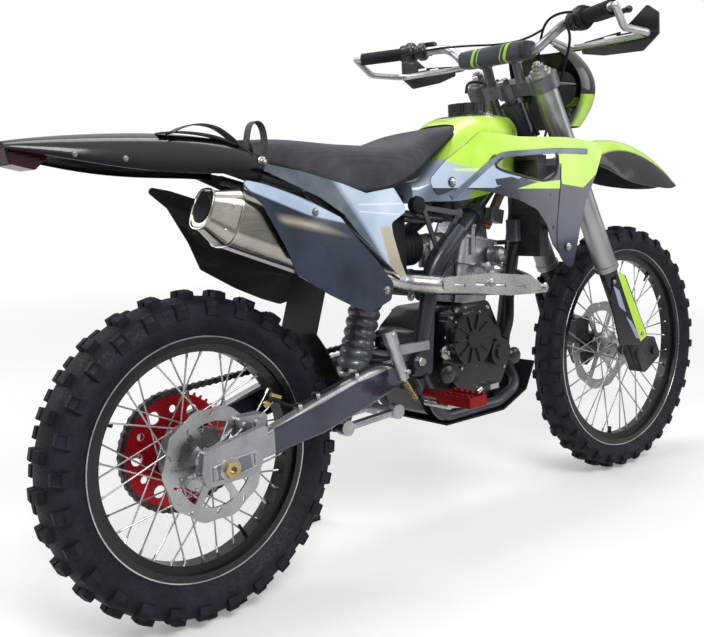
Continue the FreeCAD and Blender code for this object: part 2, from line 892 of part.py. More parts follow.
def brake_disc(centre, radius, side, inner_radius):
    """Wavy slotted ring on arms, with a hole that clears the hub."""
    points = []
    steps = disc_waves * 6
    for index in range(steps):
        turn = math.tau * index / steps
        wave = radius - disc_wave_depth / 2 * (1 - math.cos(turn * disc_waves))
        points.append(V(wave * math.cos(turn), 0, wave * math.sin(turn)))
    rim_curve = Part.BSplineCurve()
    rim_curve.interpolate(points, True)
    plate = Part.Face(Part.Wire([rim_curve.toShape()])).extrude(V(0, disc_thickness, 0))
    start = V(0, -overrun, 0)
    across = V(0, 1, 0)
    depth = disc_thickness + 2 * overrun
    band_inner = radius - disc_wave_depth - disc_band
    carrier = inner_radius + disc_arm_width
    window = Part.makeCylinder(band_inner, depth, start, across)
    window = window.cut(Part.makeCylinder(carrier, depth, start, across))
    for index in range(disc_arm_count):
        arm = Part.makeBox(radius, depth, disc_arm_width, V(0, -overrun, -disc_arm_width / 2))
        arm.rotate(V(0, 0, 0), across, 360 * index / disc_arm_count)
        window = window.cut(arm)
    cuts = [window, Part.makeCylinder(inner_radius, depth, start, across)]
    for index in range(disc_waves):
        place = band_inner + disc_band / 2 + (disc_band / 5 if index % 2 else -disc_band / 5)
        slot = Part.makeBox(disc_slot_length, depth, disc_slot_width,
                            V(-disc_slot_length / 2, -overrun, -disc_slot_width / 2))
        slot.rotate(V(0, 0, 0), across, 45)
        slot.translate(V(place, 0, 0))
        slot.rotate(V(0, 0, 0), across, 360 * (index + 0.5) / disc_waves)
        cuts.append(slot)
    plate = plate.cut(cuts)
    plate.translate(centre + V(0, side - disc_thickness / 2, 0))
    return plate


def chain_centre_line():
    """Pin places of the chain, evenly spaced round both sprockets, each with its outward direction."""
    gap = countershaft_place - rear_axle_place
    slope = math.atan2(gap.z, gap.x)
    lift = math.asin((rear_pitch_radius - front_pitch_radius) / gap.Length)
    run = gap.Length * math.cos(lift)
    top = slope + math.pi / 2 - lift
    bottom = slope - math.pi / 2 + lift
    rear_arc = rear_pitch_radius * (math.pi + 2 * lift)
    front_arc = front_pitch_radius * (math.pi - 2 * lift)
    total = 2 * run + rear_arc + front_arc
    links = 2 * round(total / chain_pitch / 2)

    def on_circle(centre, radius, angle):
        out = V(math.cos(angle), 0, math.sin(angle))
        return centre + out * radius, out

    def at(distance):
        distance %= total
        if distance < rear_arc:
            return on_circle(rear_axle_place, rear_pitch_radius, top + distance / rear_pitch_radius)
        distance -= rear_arc
        if distance < run:
            start, out = on_circle(rear_axle_place, rear_pitch_radius, bottom)
            return start + V(-out.z, 0, out.x) * distance, out
        distance -= run
        if distance < front_arc:
            return on_circle(countershaft_place, front_pitch_radius, bottom + distance / front_pitch_radius)
        distance -= front_arc
        start, out = on_circle(countershaft_place, front_pitch_radius, top)
        return start + V(-out.z, 0, out.x) * distance, out

    return [at(total * index / links / 2) for index in range(2 * links)]


def chain_band(outer, inner, waist_share, first, last):
    """Closed band that reaches outward and inward from the pins, narrower between them."""
    edges = []
    for reach in (outer, -inner):
        corners = []
        for index, (place, out) in enumerate(chain_centre_line()):
            share = waist_share if index % 2 else 1
            corners.append(place + out * (reach * share) + V(0, first, 0))
        edges.append(Part.Face(Part.makePolygon(corners + corners[:1])).extrude(V(0, last - first, 0)))
    return edges[0].cut(edges[1])


def chain():
    """Closed chain of waisted links round both sprockets, open inside for their teeth."""
    half = chain_depth / 2
    links = chain_band(half, half, chain_waist_share, chain_line - chain_width / 2, chain_line + chain_width / 2)
    room = sprocket_thickness / 2 + running_gap
    groove = chain_band(tooth_height + fit_gap, chain_depth, 1, chain_line - room, chain_line + room)
    return links.cut(groove)


def toothed_wheel(centre, pitch_radius, teeth, bore):
    """Sprocket whose teeth stand between the chain's pins."""
    corners = []
    root = pitch_radius - sprocket_root_depth
    tip = pitch_radius + tooth_height - fit_gap
    for index in range(teeth):
        for share, reach in ((0.0, root), (0.30, root), (0.45, tip), (0.55, tip), (0.70, root)):
            turn = math.tau * (index + share) / teeth
            corners.append(centre + V(reach * math.cos(turn), -sprocket_thickness / 2, reach * math.sin(turn)))
    wheel = Part.Face(Part.makePolygon(corners + corners[:1])).extrude(V(0, sprocket_thickness, 0))
    return wheel.cut(cross_rod(centre, sprocket_thickness, bore)) if bore else wheel


def rear_sprocket():
    """Toothed plate with large and small holes by turns, on the left of the rear hub."""
    centre = rear_axle_place + V(0, chain_line, 0)
    plate = toothed_wheel(centre, rear_pitch_radius, rear_teeth, rear_hub_radius)
    reach = sprocket_hole_place_share * rear_pitch_radius
    holes = []
    for index in range(sprocket_holes):
        turn = math.tau * index / sprocket_holes
        size = sprocket_small_hole_radius if index % 2 else sprocket_hole_radius
        holes.append(cross_rod(centre + V(reach * math.cos(turn), 0, reach * math.sin(turn)), sprocket_thickness, size))
    return plate.cut(holes)


def arm_stations():
    """Swingarm sections from the axle end to the pivot: place, height, half height, middle, half width."""
    drop = pivot_height - rear_axle_height
    wide = arm_width / 2
    heights = [rear_axle_height + share * drop for share in arm_rise_shares]
    return [
        (-arm_tail, heights[0], arm_tail_height / 2, arm_spread, wide),
        (arm_tail, heights[1], arm_tail_height / 2, arm_spread, wide),
        (arm_bend, heights[2], arm_height / 2, arm_spread, wide),
        (bridge_start() + bridge_length, heights[3], arm_height / 2, arm_spread - arm_taper, wide),
        (swingarm_length + arm_nose, pivot_height - arm_nose_drop, arm_front_height / 2, arm_front_spread,
         arm_front_width / 2),
    ]


def bridge_start():
    """Rear face of the swingarm's bridge, just ahead of the tyre."""
    return rear_tyre_radius + bridge_gap


def axle_block():
    """Plate that carries the axle on the outside of the left arm."""
    face = arm_spread + arm_width / 2
    outline = placed(axle_block_corner, axle_block_span, axle_block_shares)
    return rounded_slab(outline, face - 2 * overrun, face + axle_block_thickness, axle_block_bend)


def swingarm():
    """Two tapered arms joined by a bridge ahead of the tyre, with the bracket of the side stand."""
    sections = []
    for x, z, half_height, side, half_width in arm_stations():
        sections.append(oval_wire(V(x, side, z), V(1, 0, 0), V(0, 1, 0), half_width, half_height, arm_square_share))
    arm = joined([Part.makeLoft(sections, True, True), axle_block()])
    arm = arm.cut(rod(rear_axle_place, rear_axle_place + V(0, 2 * arm_spread, 0), rear_axle_radius))
    arm = arm.cut(rod(pivot_place, pivot_place + V(0, 2 * arm_spread, 0), pivot_bolt_radius))
    start = bridge_start()
    station = arm_stations()[3]
    low = V(start, -station[3], station[1] - bridge_height / 2)
    high = V(start + bridge_length, station[3], station[1] + bridge_height / 2)
    whole = joined([arm, mirrored(arm), box(low, high)])
    return joined([whole, stand_bracket()])


def axle_end():
    """Distance of the outer face of an axle block from the middle."""
    return arm_spread + arm_width / 2 + axle_block_thickness


def hexagon(centre, half_length, radius):
    """Six-sided bar across the machine."""
    corners = []
    for index in range(6):
        turn = math.tau * index / 6
        corners.append(centre + V(radius * math.cos(turn), -half_length, radius * math.sin(turn)))
    return Part.Face(Part.makePolygon(corners + corners[:1])).extrude(V(0, 2 * half_length, 0))


def rear_axle():
    """Hollow axle through both arms and the hub, with its nut on the right and its head on the left."""
    reach = axle_end()
    shaft = cross_rod(rear_axle_place, reach + overrun, rear_axle_radius)
    nut = hexagon(rear_axle_place - V(0, reach + axle_nut_width / 2, 0), axle_nut_width / 2, axle_nut_radius)
    head = rod(rear_axle_place + V(0, reach, 0), rear_axle_place + V(0, reach + axle_head_width, 0), axle_nut_radius)
    return joined([shaft, nut, head]).cut(cross_rod(rear_axle_place, 2 * reach, axle_bore_radius))


def shock_axis():
    """Lower and upper eye of the shock absorber."""
    return middle_point(shock_low), middle_point(shock_high)


def shock_body():
    """Damper with an eye at each end and a spring seat at each end of the spring."""
    low, high = shock_axis()
    along = high - low
    pieces = [rod(low, high, shock_shaft_radius)]
    pieces.append(rod(low + along * (1 - shock_body_share), low + along * shock_top_share, shock_body_radius))
    for share in (spring_low_share, spring_high_share):
        seat = low + along * share
        pieces.append(rod(seat - along * spring_seat_share, seat, spring_radius))
    pieces.append(cross_rod(low, shock_eye_width / 2, shock_eye_radius))
    pieces.append(cross_rod(high, shock_eye_width / 2, shock_eye_radius))
    return joined(pieces)


def shock_spring():
    """Coils of the spring between the two seats of the damper, each a full round turn."""
    low, high = shock_axis()
    along = high - low
    start = low + along * spring_low_share
    length = along.Length * (spring_high_share - spring_seat_share - spring_low_share) - 2 * fit_gap
    pitch = length / spring_coils
    bore = shock_body_radius + fit_gap
    waist = spring_radius - spring_wire_radius
    edges = [Part.LineSegment(V(bore, 0, length), V(bore, 0, 0)), Part.LineSegment(V(bore, 0, 0), V(waist, 0, 0))]
    for index in range(spring_coils):
        base = index * pitch
        edges.append(Part.Arc(V(waist, 0, base), V(spring_radius, 0, base + pitch / 2), V(waist, 0, base + pitch)))
    edges.append(Part.LineSegment(V(waist, 0, length), V(bore, 0, length)))
    section = Part.Face(Part.Wire([edge.toShape() for edge in edges]))
    coils = section.revolve(V(0, 0, 0), V(0, 0, 1), 360)
    coils.Placement = FreeCAD.Placement(start + along.normalize() * fit_gap, FreeCAD.Rotation(V(0, 0, 1), high - low))
    return coils


def linkage():
    """Link rods under the swingarm, and the crank between them, the swingarm and the shock absorber."""
    rear = V(link_rear, 0, pivot_height - link_drop)
    front = rear + V(link_length, 0, link_radius)
    low = shock_axis()[0]
    crank = slab([(rear.x - link_eye_radius, rear.z - link_radius),
                  (rear.x + link_eye_radius, rear.z - link_eye_radius),
                  (low.x + link_eye_radius, low.z), (low.x, low.z + link_eye_radius),
                  (bridge_start() + bridge_length / 2, low.z + link_eye_radius)],
                 shock_eye_width / 2 + fit_gap, shock_eye_width / 2 + link_radius)
    pieces = [crank, mirrored(crank)]
    for centre in (rear, front):
        pieces.append(cross_rod(centre, link_spread, link_radius))
    for side in (-link_spread, link_spread):
        pieces.append(rod(rear + V(0, side, 0), front + V(0, side, 0), link_radius))
        pieces.append(cross_rod(rear + V(0, side, 0), link_eye_half, link_eye_radius))
        pieces.append(cross_rod(front + V(0, side, 0), link_eye_half, link_eye_radius))
    return joined(pieces).cut(swingarm())


def spar_route():
    """Right spar from the head tube back and down to its foot."""
    start = head_centre - V(head_tube_radius / 2, 0, head_tube_length / 4)
    return [start, side_point(spar_high, -spar_high_spread), side_point(spar_low, -spar_spread),
            side_point(spar_foot, -spar_spread)]


def head_tube():
    """Outside of the head tube, solid."""
    half = fork_up * (head_tube_length / 2)
    return rod(head_centre - half, head_centre + half, head_tube_radius)


def frame_main():
    """Head tube, two spars, and the flattened lower spars down to the swingarm pivot."""
    half = fork_up * (head_tube_length / 2)
    spar = pipe(spar_route(), spar_radius, spar_bend)
    top = spar_route()[-1]
    width = lower_spar_width
    outline = [(top.x - width / 2, top.z + width), (top.x + width / 2, top.z + width),
               (top.x - width / 6, top.z - width), (pivot_place.x + width * 1.2, pivot_place.z - width),
               (pivot_place.x - width * 0.4, pivot_place.z - width), (pivot_place.x - width * 0.3, pivot_place.z)]
    first = -(spar_spread + lower_spar_thickness / 2)
    lower = rounded_slab(outline, first, first + lower_spar_thickness, width / 3)
    cross = cross_rod(V(top.x, 0, top.z), spar_spread, subframe_radius)
    bolt = cross_rod(pivot_place, spar_spread, pivot_bolt_radius - fit_gap)
    cap = cross_rod(pivot_place, pivot_cap_depth - first, pivot_cap_radius)
    cap = cap.cut(cross_rod(pivot_place, -first, pivot_cap_radius + overrun))
    mount = slab(placed(shock_mount_corner, shock_mount_span, shock_mount_shares), shock_eye_width / 2 + fit_gap,
                 shock_eye_width / 2 + shock_mount_width)
    route = spar_route()
    run = route[2] - route[1]
    first, last = [route[1] + run * share for share in tank_collar_shares]
    collar = rod(first, last, spar_radius + 2 * room_gap)
    bore = rod(head_centre - half * 2, head_centre + half * 2, stem_radius + running_gap)
    whole = joined([head_tube(), spar, mirrored(spar), lower, mirrored(lower), cross, bolt, cap, mount,
                    mirrored(mount), collar, mirrored(collar)])
    return whole.cut([bore, fuel_tank()])


def rail_points():
    """Side-view corners of the cradle rails, from the down tube's foot to the swingarm pivot."""
    foot = middle_point(down_tube_foot)
    return [(foot.x, foot.z), (foot.x - cradle_bend / 2, foot.z - cradle_bend), (cradle_front, cradle_low),
            (cradle_rear, cradle_low), (pivot_place.x + cradle_bend / 4, pivot_place.z - lower_spar_width)]


def down_tube_ends():
    """Upper end of the down tube at the head, and its foot."""
    top = head_centre - fork_up * (head_tube_length / 3) - fork_ahead * (head_tube_radius * down_tube_set_share)
    return top, middle_point(down_tube_foot)


def frame_cradle():
    """Down tube from the head to two rails that pass under the engine to the pivot plates."""
    corners = rail_points()
    down = rod(*down_tube_ends(), frame_tube_radius)
    sides = [cradle_radius / 2, cradle_spread, cradle_spread, cradle_spread + cradle_radius / 2, spar_spread]
    rail = [V(x, -side, z) for (x, z), side in zip(corners, sides)]
    side = pipe(rail, cradle_radius, cradle_bend)
    return joined([down, side, mirrored(side)]).cut([frame_main(), head_tube()])


def subframe():
    """Two slim rails under the seat and two struts down to the spars."""
    rear = V(subframe_rear, -subframe_spread, seat_low_height + subframe_rear_rise)
    mid = V(subframe_mid, -subframe_spread, seat_low_height - subframe_mid_drop)
    front = V(subframe_front, -subframe_spread, seat_low_height - subframe_front_drop)
    rail = pipe([rear, mid, front], subframe_radius, subframe_bend)
    share = (strut_rear - rear.x) / (mid.x - rear.x)
    foot = V(spar_foot[0] - strut_foot_set, -subframe_spread, spar_foot[1] - strut_foot_drop)
    strut = rod(rear + (mid - rear) * share, foot, subframe_radius)
    post_foot = rail_point(seat_post)
    post = rod(post_foot, post_foot + V(0, 0, 2 * subframe_mid_drop), panel_post_radius)
    inside = front + (mid - front) * subframe_tie_share
    low = foot + (rear - foot) * subframe_tie_share
    ties = [cross_rod(V(inside.x, 0, inside.z), subframe_spread, subframe_tie_radius),
            cross_rod(V(low.x, 0, low.z), spar_spread, subframe_tie_radius)]
    return joined([rail, mirrored(rail), strut, mirrored(strut), post, mirrored(post)] + ties).cut(
        [frame_main(), seat()])


def crankcase():
    """Engine cases, with the drive sprocket on the shaft at their left."""
    cases = rounded_slab(placed(case_corner, case_span, case_shares), -case_half, case_half, case_bend)
    shaft = rod(countershaft_place, countershaft_place + V(0, chain_line + sprocket_thickness, 0), countershaft_radius)
    wheel = toothed_wheel(countershaft_place + V(0, chain_line, 0), front_pitch_radius, front_teeth, 0)
    return joined([cases, shaft, wheel])


def disc_at(place, side, depth, radius):
    """Short round boss that stands out to one side."""
    start = V(place[0], side, place[1])
    return rod(start, start + V(0, depth, 0), radius)


def clutch_cover():
    """Round cover with raised ribs between its cap and its rim."""
    face = -case_half - side_case_depth
    disc = disc_at(clutch_centre, face + overrun, -clutch_depth - overrun, clutch_radius)
    top = face - clutch_depth
    cap = disc_at(clutch_centre, face, -clutch_depth - clutch_rib_height, clutch_radius * clutch_cap_share)
    pieces = [disc, cap]
    first, last = [clutch_radius * share for share in clutch_rib_shares]
    for index in range(clutch_rib_count):
        rib = Part.makeBox(last - first, clutch_rib_height + overrun, clutch_rib_width,
                           V(first, -clutch_rib_height, -clutch_rib_width / 2))
        rib.rotate(V(0, 0, 0), V(0, 1, 0), 360 * index / clutch_rib_count)
        rib.translate(side_point(clutch_centre, top))
        pieces.append(rib)
    return joined(pieces)


def engine_covers():
    """Right side case with the clutch cover and pump, and the left ignition cover."""
    outline = placed(side_case_corner, side_case_span, side_case_shares)
    side = rounded_slab(outline, -case_half - side_case_depth, -case_half, side_case_bend)
    pump = disc_at(pump_centre, -case_half, -side_case_depth - pump_depth, pump_radius)
    pump_cap = disc_at(pump_centre, -case_half, -side_case_depth - 1.3 * pump_depth, pump_radius * pump_cap_share)
    right = joined([side, clutch_cover(), pump, pump_cap])
    ignition = disc_at(ignition_centre, case_half, ignition_depth, ignition_radius)
    boss = disc_at(ignition_centre, case_half, 1.2 * ignition_depth, ignition_radius / 2)
    return Part.Compound([right, joined([ignition, boss])])


def cylinder_up():
    """Direction of the tilted cylinder."""
    tilt = math.radians(cylinder_tilt)
    return V(math.sin(tilt), 0, math.cos(tilt))


def cylinder_wire(height, extra):
    """Rounded section of the cylinder, wider all round by an amount."""
    centre = middle_point(cylinder_base) + cylinder_up() * height
    return oval_wire(centre, cylinder_up(), V(0, 1, 0), cylinder_width / 2 + extra, cylinder_length / 2 + extra,
                     cylinder_bend_share)


def cylinder():
    """Cylinder with its joint flanges, head and cover, tilted forward."""
    head_top = cylinder_height + head_height_own
    extra = head_extra / 2
    inset = cover_inset / 2
    pieces = [
        loft([cylinder_wire(0, 0), cylinder_wire(cylinder_height, 0)]),
        loft([cylinder_wire(cylinder_height, extra), cylinder_wire(head_top, extra)]),
        loft([cylinder_wire(head_top - overrun, -inset), cylinder_wire(head_top + cover_height, -2 * inset)]),
    ]
    for height in (cylinder_height, head_top):
        flange = [cylinder_wire(height - joint_thickness / 2, extra + joint_flange),
                  cylinder_wire(height + joint_thickness / 2, extra + joint_flange)]
        pieces.append(loft(flange))
    low = box(V(case_corner[0], -cylinder_width, case_corner[1]),
              V(case_corner[0] + 2 * case_span[0], cylinder_width, case_corner[1] + case_span[1]))
    return joined(pieces).cut(low)


def throttle_start():
    """Front end of the throttle body, inside the head."""
    return V(cylinder_base[0] - throttle_setback, 0, throttle_height)


def throttle_body():
    """Throttle body behind the head, with its bowl, end flange and cable wheel."""
    start = throttle_start()
    end = start - V(throttle_length, 0, 0)
    middle = (start + end) * 0.5
    body = rod(start, end, throttle_radius)
    bowl = rod(middle - V(0, 0, throttle_radius * 2), middle, throttle_radius * bowl_share)
    ring = rod(end, end + V(throttle_flange, 0, 0), throttle_radius + throttle_flange)
    wheel = disc_at((middle.x, middle.z), -throttle_radius + overrun, -throttle_wheel_width - overrun,
                    throttle_wheel_radius)
    return joined([body, bowl, ring, wheel]).cut(cylinder())


def intake_boot():
    """Ribbed rubber boot between the throttle body and the airbox."""
    start = throttle_start() - V(throttle_length, 0, 0)
    length = start.x - airbox_front
    steps = boot_ribs * 2
    profile = [(0, 0)]
    for index in range(steps + 1):
        profile.append((boot_radius + (boot_rib if index % 2 else 0), length * index / steps))
    profile.append((0, length))
    corners = [start + V(-along, 0, radius) for radius, along in profile]
    face = Part.Face(Part.makePolygon(corners + corners[:1]))
    return face.revolve(start, V(1, 0, 0), 360)


def airbox_span():
    """Length and height of the airbox, up to just under the seat."""
    return airbox_front - airbox_corner[0], seat_low_height - airbox_seat_gap - airbox_corner[1]


def airbox():
    """Closed box behind the boot, with room for the shock absorber in its front half."""
    outline = placed(airbox_corner, airbox_span(), airbox_shares)
    shell = rounded_slab(outline, -airbox_half, airbox_half, airbox_bend)
    high = shock_axis()[1]
    reach = spring_radius + room_gap
    room = box(V(high.x - 2 * reach, -reach, airbox_corner[1] - overrun),
               V(airbox_front + overrun, reach, high.z + shock_eye_radius + 2 * room_gap))
    return shell.cut(room)


def header_route():
    """Exhaust pipe from the front of the head round the right side to the silencer."""
    run = middle_point(silencer_front) - middle_point(silencer_tail)
    inside = middle_point(silencer_front) - run * (header_radius / run.Length)
    return [middle_point(header_start), side_point(header_nose, -header_radius / 2),
            side_point(header_turn, -header_turn_side), side_point(header_front, -header_side),
            side_point(header_middle, -header_side), side_point(header_rear, -header_side),
            side_point(header_dip, -header_inside), side_point(header_end, -header_inside),
            inside - V(0, silencer_side, 0)]


def header_pipe():
    """Bent exhaust pipe."""
    return pipe(header_route(), header_radius, header_bend).cut([cylinder(), silencer()])


def heat_shield():
    """Thin slotted shield held off the exhaust pipe."""
    outline = placed(shield_corner, shield_span, shield_shares)
    first = -(header_side + header_radius + fit_gap + shield_thickness)
    plate = rounded_slab(outline, first, first + shield_thickness, shield_bend)
    slots = []
    for u, w in shield_slots_shares:
        x, z = placed(shield_corner, shield_span, [(u, w)])[0]
        corners = [(x, z), (x + shield_slot_length, z - shield_slot_height),
                   (x + shield_slot_length, z), (x, z + shield_slot_height)]
        slots.append(slab(corners, first - overrun, first + overrun))
    return plate.cut(slots)


def silencer():
    """Six-sided can with an angled end cap and a round outlet."""
    tail = side_point(silencer_tail, -silencer_side)
    front = side_point(silencer_front, -silencer_side)
    along = (front - tail).normalize()
    sections = []
    for share, size in silencer_stations_shares:
        centre = tail + (front - tail) * share
        sections.append(oval_wire(centre, along, V(0, 1, 0), silencer_width / 2 * size, silencer_height / 2 * size,
                                  silencer_square_share))
    can = Part.makeLoft(sections, True, True)
    return can.cut(rod(tail - along * overrun, tail + along * silencer_cap, silencer_outlet_radius))


def seat():
    """Long saddle that rises at its nose."""
    return arch_loft(seat_rear, seat_front - seat_rear, seat_half_width, seat_low_height, seat_rise,
                     seat_stations_shares, seat_section_shares)


def cap_base():
    """Foot of the fuel cap, sunk in the top of the tank."""
    return V(cap_centre, 0, tank_low + tank_rise - cap_sink)


def fuel_tank():
    """Tank between the spars and under the nose of the seat."""
    whole = arch_loft(tank_rear, tank_front - tank_rear, tank_half_width, tank_low, tank_rise,
                      tank_stations_shares, tank_section_shares)
    room = pipe(spar_route(), spar_radius + room_gap, spar_bend)
    length = fork_up * head_tube_length
    head_room = rod(head_centre - length, head_centre + length, head_tube_radius + 2 * room_gap)
    cap = rod(cap_base(), cap_base() + V(0, 0, cap_height + cap_sink), cap_radius)
    top = radiator_low + radiator_height + room_gap
    core = box(V(radiator_front - radiator_depth - room_gap, -radiator_inner - radiator_width - overrun,
                 tank_low - overrun), V(radiator_front + room_gap, -radiator_inner + room_gap, top))
    return whole.cut([room, mirrored(room), head_room, seat(), cap, core, mirrored(core)])


def fuel_cap():
    """Cap with a rim and grooves for the hand."""
    base = cap_base()
    cap = rod(base, base + V(0, 0, cap_height + cap_sink), cap_radius)
    grooves = []
    for index in range(cap_ribs):
        turn = math.tau * index / cap_ribs
        foot = base + V(cap_radius * math.cos(turn), cap_radius * math.sin(turn), cap_sink + cap_rim_height)
        grooves.append(rod(foot, foot + V(0, 0, cap_height), cap_groove_radius))
    return cap.cut(grooves)


def radiators():
    """Two cores, one each side of the down tube, recessed in their frames."""
    low = V(radiator_front - radiator_depth, -radiator_inner - radiator_width, radiator_low)
    high = V(radiator_front, -radiator_inner, radiator_low + radiator_height)
    core = box(low, high)
    rim_room = V(0, radiator_rim, radiator_rim)
    front = box(V(high.x - radiator_recess, low.y, low.z) + rim_room, high + V(overrun, 0, 0) - rim_room)
    rear = box(low - V(overrun, 0, 0) + rim_room, V(low.x + radiator_recess, high.y, high.z) - rim_room)
    core = core.cut([front, rear])
    top, foot = down_tube_ends()
    x = radiator_front - radiator_depth / 2
    stays = []
    for share in radiator_stay_shares:
        z = radiator_low + radiator_height * share
        middle = foot + (top - foot) * ((z - foot.z) / (top.z - foot.z))
        stays.append(rod(V(x, -radiator_inner - radiator_rim, z), middle, radiator_stay_radius))
    return both(joined([core] + stays).cut(frame_cradle()))


def shroud_spread(x, z):
    """Distance of the shroud from the middle, wider to the front and leaning in to the top."""
    share = (x - shroud_corner[0]) / shroud_span[0]
    rise = (z - shroud_corner[1]) / shroud_span[1]
    wide = shroud_rear_spread + (shroud_front_spread - shroud_rear_spread) * math.sin(share * math.pi / 2)
    return wide - shroud_top_inset * rise * rise


def shrouds():
    """Radiator shrouds with a vent."""
    outline = placed(shroud_corner, shroud_span, shroud_shares)
    plate = curved_plate(outline, shroud_spread, panel_thickness, shroud_bend)
    vent = rounded_slab(placed(vent_corner, vent_span, vent_shares), -shroud_front_spread - overrun, 0, vent_bend)
    x = radiator_front - radiator_depth / 2
    posts = []
    for share in shroud_post_shares:
        z = radiator_low + radiator_height * share
        posts.append(rod(V(x, -radiator_inner - radiator_width, z), V(x, -shroud_spread(x, z), z),
                         panel_post_radius))
    return both(joined([plate.cut(vent)] + posts))


def side_panel_surface(x, z):
    """Distance of the side panel from the middle, drawn in towards its front end."""
    share = (x - side_panel_corner[0]) / side_panel_span[0]
    return side_panel_spread - side_panel_draw * share * share * share


def rail_point(x):
    """Point on the rear half of the right subframe rail."""
    rear = V(subframe_rear, -subframe_spread, seat_low_height + subframe_rear_rise)
    mid = V(subframe_mid, -subframe_spread, seat_low_height - subframe_mid_drop)
    return rear + (mid - rear) * ((x - rear.x) / (mid.x - rear.x))


def side_panels():
    """Number panels, one held off the silencer and the other off the subframe."""
    outline = placed(side_panel_corner, side_panel_span, side_panel_shares)
    plate = curved_plate(outline, side_panel_surface, panel_thickness, side_panel_bend)
    can = silencer()
    tail = side_point(silencer_tail, -silencer_side)
    front = side_point(silencer_front, -silencer_side)
    posts = []
    for share in panel_post_shares:
        place = tail + (front - tail) * share
        outside = V(place.x, -side_panel_surface(place.x, place.z), place.z)
        posts.append(rod(place, outside, panel_post_radius))
    right = joined([plate] + posts).cut(can)
    stays = []
    for share in stay_shares:
        rail = rail_point(subframe_rear + (subframe_mid - subframe_rear) * share)
        place = tail + (front - tail) * share
        stays.append(rod(rail, V(place.x, -side_panel_surface(place.x, place.z), place.z), panel_post_radius))
    left = joined([mirrored(plate)] + [mirrored(stay) for stay in stays]).cut(subframe())
    return Part.Compound([right, left])


def mid_panels():
    """Panels between the seat and the side panels, each with two posts to the subframe."""
    outline = placed((mid_panel_rear, seat_low_height - mid_panel_drop), mid_panel_span, mid_panel_shares)
    plate = rounded_slab(outline, -mid_panel_spread - panel_thickness, -mid_panel_spread, mid_panel_bend)
    posts = []
    for x in mid_panel_posts:
        foot = rail_point(x)
        posts.append(rod(foot, V(foot.x, -mid_panel_spread - overrun / 2, foot.z), panel_post_radius))
    return both(joined([plate] + posts).cut([subframe(), seat()]))


def mud_flap():
    """Flexible flap that follows the rear tyre and then runs up the back of the airbox."""
    reach = rear_tyre_radius + tyre_gap
    points = []
    for degrees in flap_turns:
        turn = math.radians(degrees)
        points.append((reach * math.cos(turn), rear_axle_height + reach * math.sin(turn)))
    rear = airbox_corner[0] - fit_gap - flap_thickness
    low = airbox_corner[1] + airbox_span()[1] * airbox_shares[0][1]
    points += [(rear, low), (rear, low + flap_lap)]
    back = [(x + flap_thickness, z) for x, z in reversed(points)]
    return slab(points + back, -flap_half_width, flap_half_width)


def trough(start, length, half_width, low, rise, stations_shares, section_shares):
    """Shell of even thickness over arched sections, open below."""
    outer = arch_loft(start, length, half_width, low, rise, stations_shares, section_shares)
    inner = arch_loft(start, length, half_width, low, rise, stations_shares, section_shares, fender_thickness)
    return outer.cut(inner)


def rear_fender():
    """Inverted trough that narrows to the tail."""
    shell = trough(rear_fender_tail, rear_fender_front - rear_fender_tail, rear_fender_half, rear_fender_low,
                   rear_fender_rise, rear_fender_stations_shares, fender_section_shares)
    return shell.cut(seat())


def tail_light():
    """Lamp housing under the tail of the fender."""
    outline = placed(lamp_corner, lamp_span, lamp_shares)
    return rounded_slab(outline, -lamp_half_width, lamp_half_width, lamp_bend).cut(rear_fender())


def plate_bracket():
    """Flat tray hung on two ribs inside the fender, behind the lamp."""
    low = V(tray_rear, -tray_half_width, tray_height)
    high = V(tray_rear + tray_length, tray_half_width, tray_height + tray_thickness)
    rib = box(low, V(high.x, low.y + tray_rib, tray_height + tray_rib_rise))
    return joined([box(low, high), rib, mirrored(rib)]).cut(rear_fender())


def lowered(points, distance):
    """Side-view line moved square to itself, below the one given."""
    moved = []
    for index, (x, z) in enumerate(points):
        before = points[max(index - 1, 0)]
        after = points[min(index + 1, len(points) - 1)]
        turn = math.atan2(after[1] - before[1], after[0] - before[0])
        moved.append((x - distance * math.sin(turn), z + distance * math.cos(turn)))
    return moved


def skid_plate():
    """Pan under the cradle rails."""
    rails = rail_points()[:3] + [(skid_rear + cradle_bend, cradle_low)]
    upper = lowered(rails, cradle_radius + fit_gap)
    lower = lowered(rails, cradle_radius + fit_gap + skid_thickness)
    return slab(upper + list(reversed(lower)), -skid_half_width, skid_half_width).cut(frame_cradle())


def footpegs():
    """Toothed pegs on brackets at the ends of the cradle."""
    centre = V(peg_place[0], -peg_inner - peg_length / 2, peg_place[1])
    half = V(peg_width / 2, peg_length / 2, peg_height / 2)
    tread = box(centre - half, centre + half)
    opening = V(half.x - peg_wall, half.y - peg_wall, peg_height)
    pieces = [tread.cut(box(centre - opening, centre + opening))]
    pieces.append(box(centre - V(peg_wall / 2, half.y, half.z), centre + V(peg_wall / 2, half.y, half.z)))
    step = peg_length / peg_teeth
    for index in range(peg_teeth):
        for edge in (-half.x, half.x - peg_wall):
            foot = centre + V(edge, -half.y + step * (index + 0.5) - peg_tooth_length / 2, half.z - meeting_gap)
            pieces.append(box(foot, foot + V(peg_wall, peg_tooth_length, peg_tooth_height)))
    pieces.append(rod(V(centre.x, -spar_spread - lower_spar_thickness / 2, centre.z),
                      V(centre.x, -peg_inner - overrun, centre.z), peg_bracket_radius))
    return both(joined(pieces))


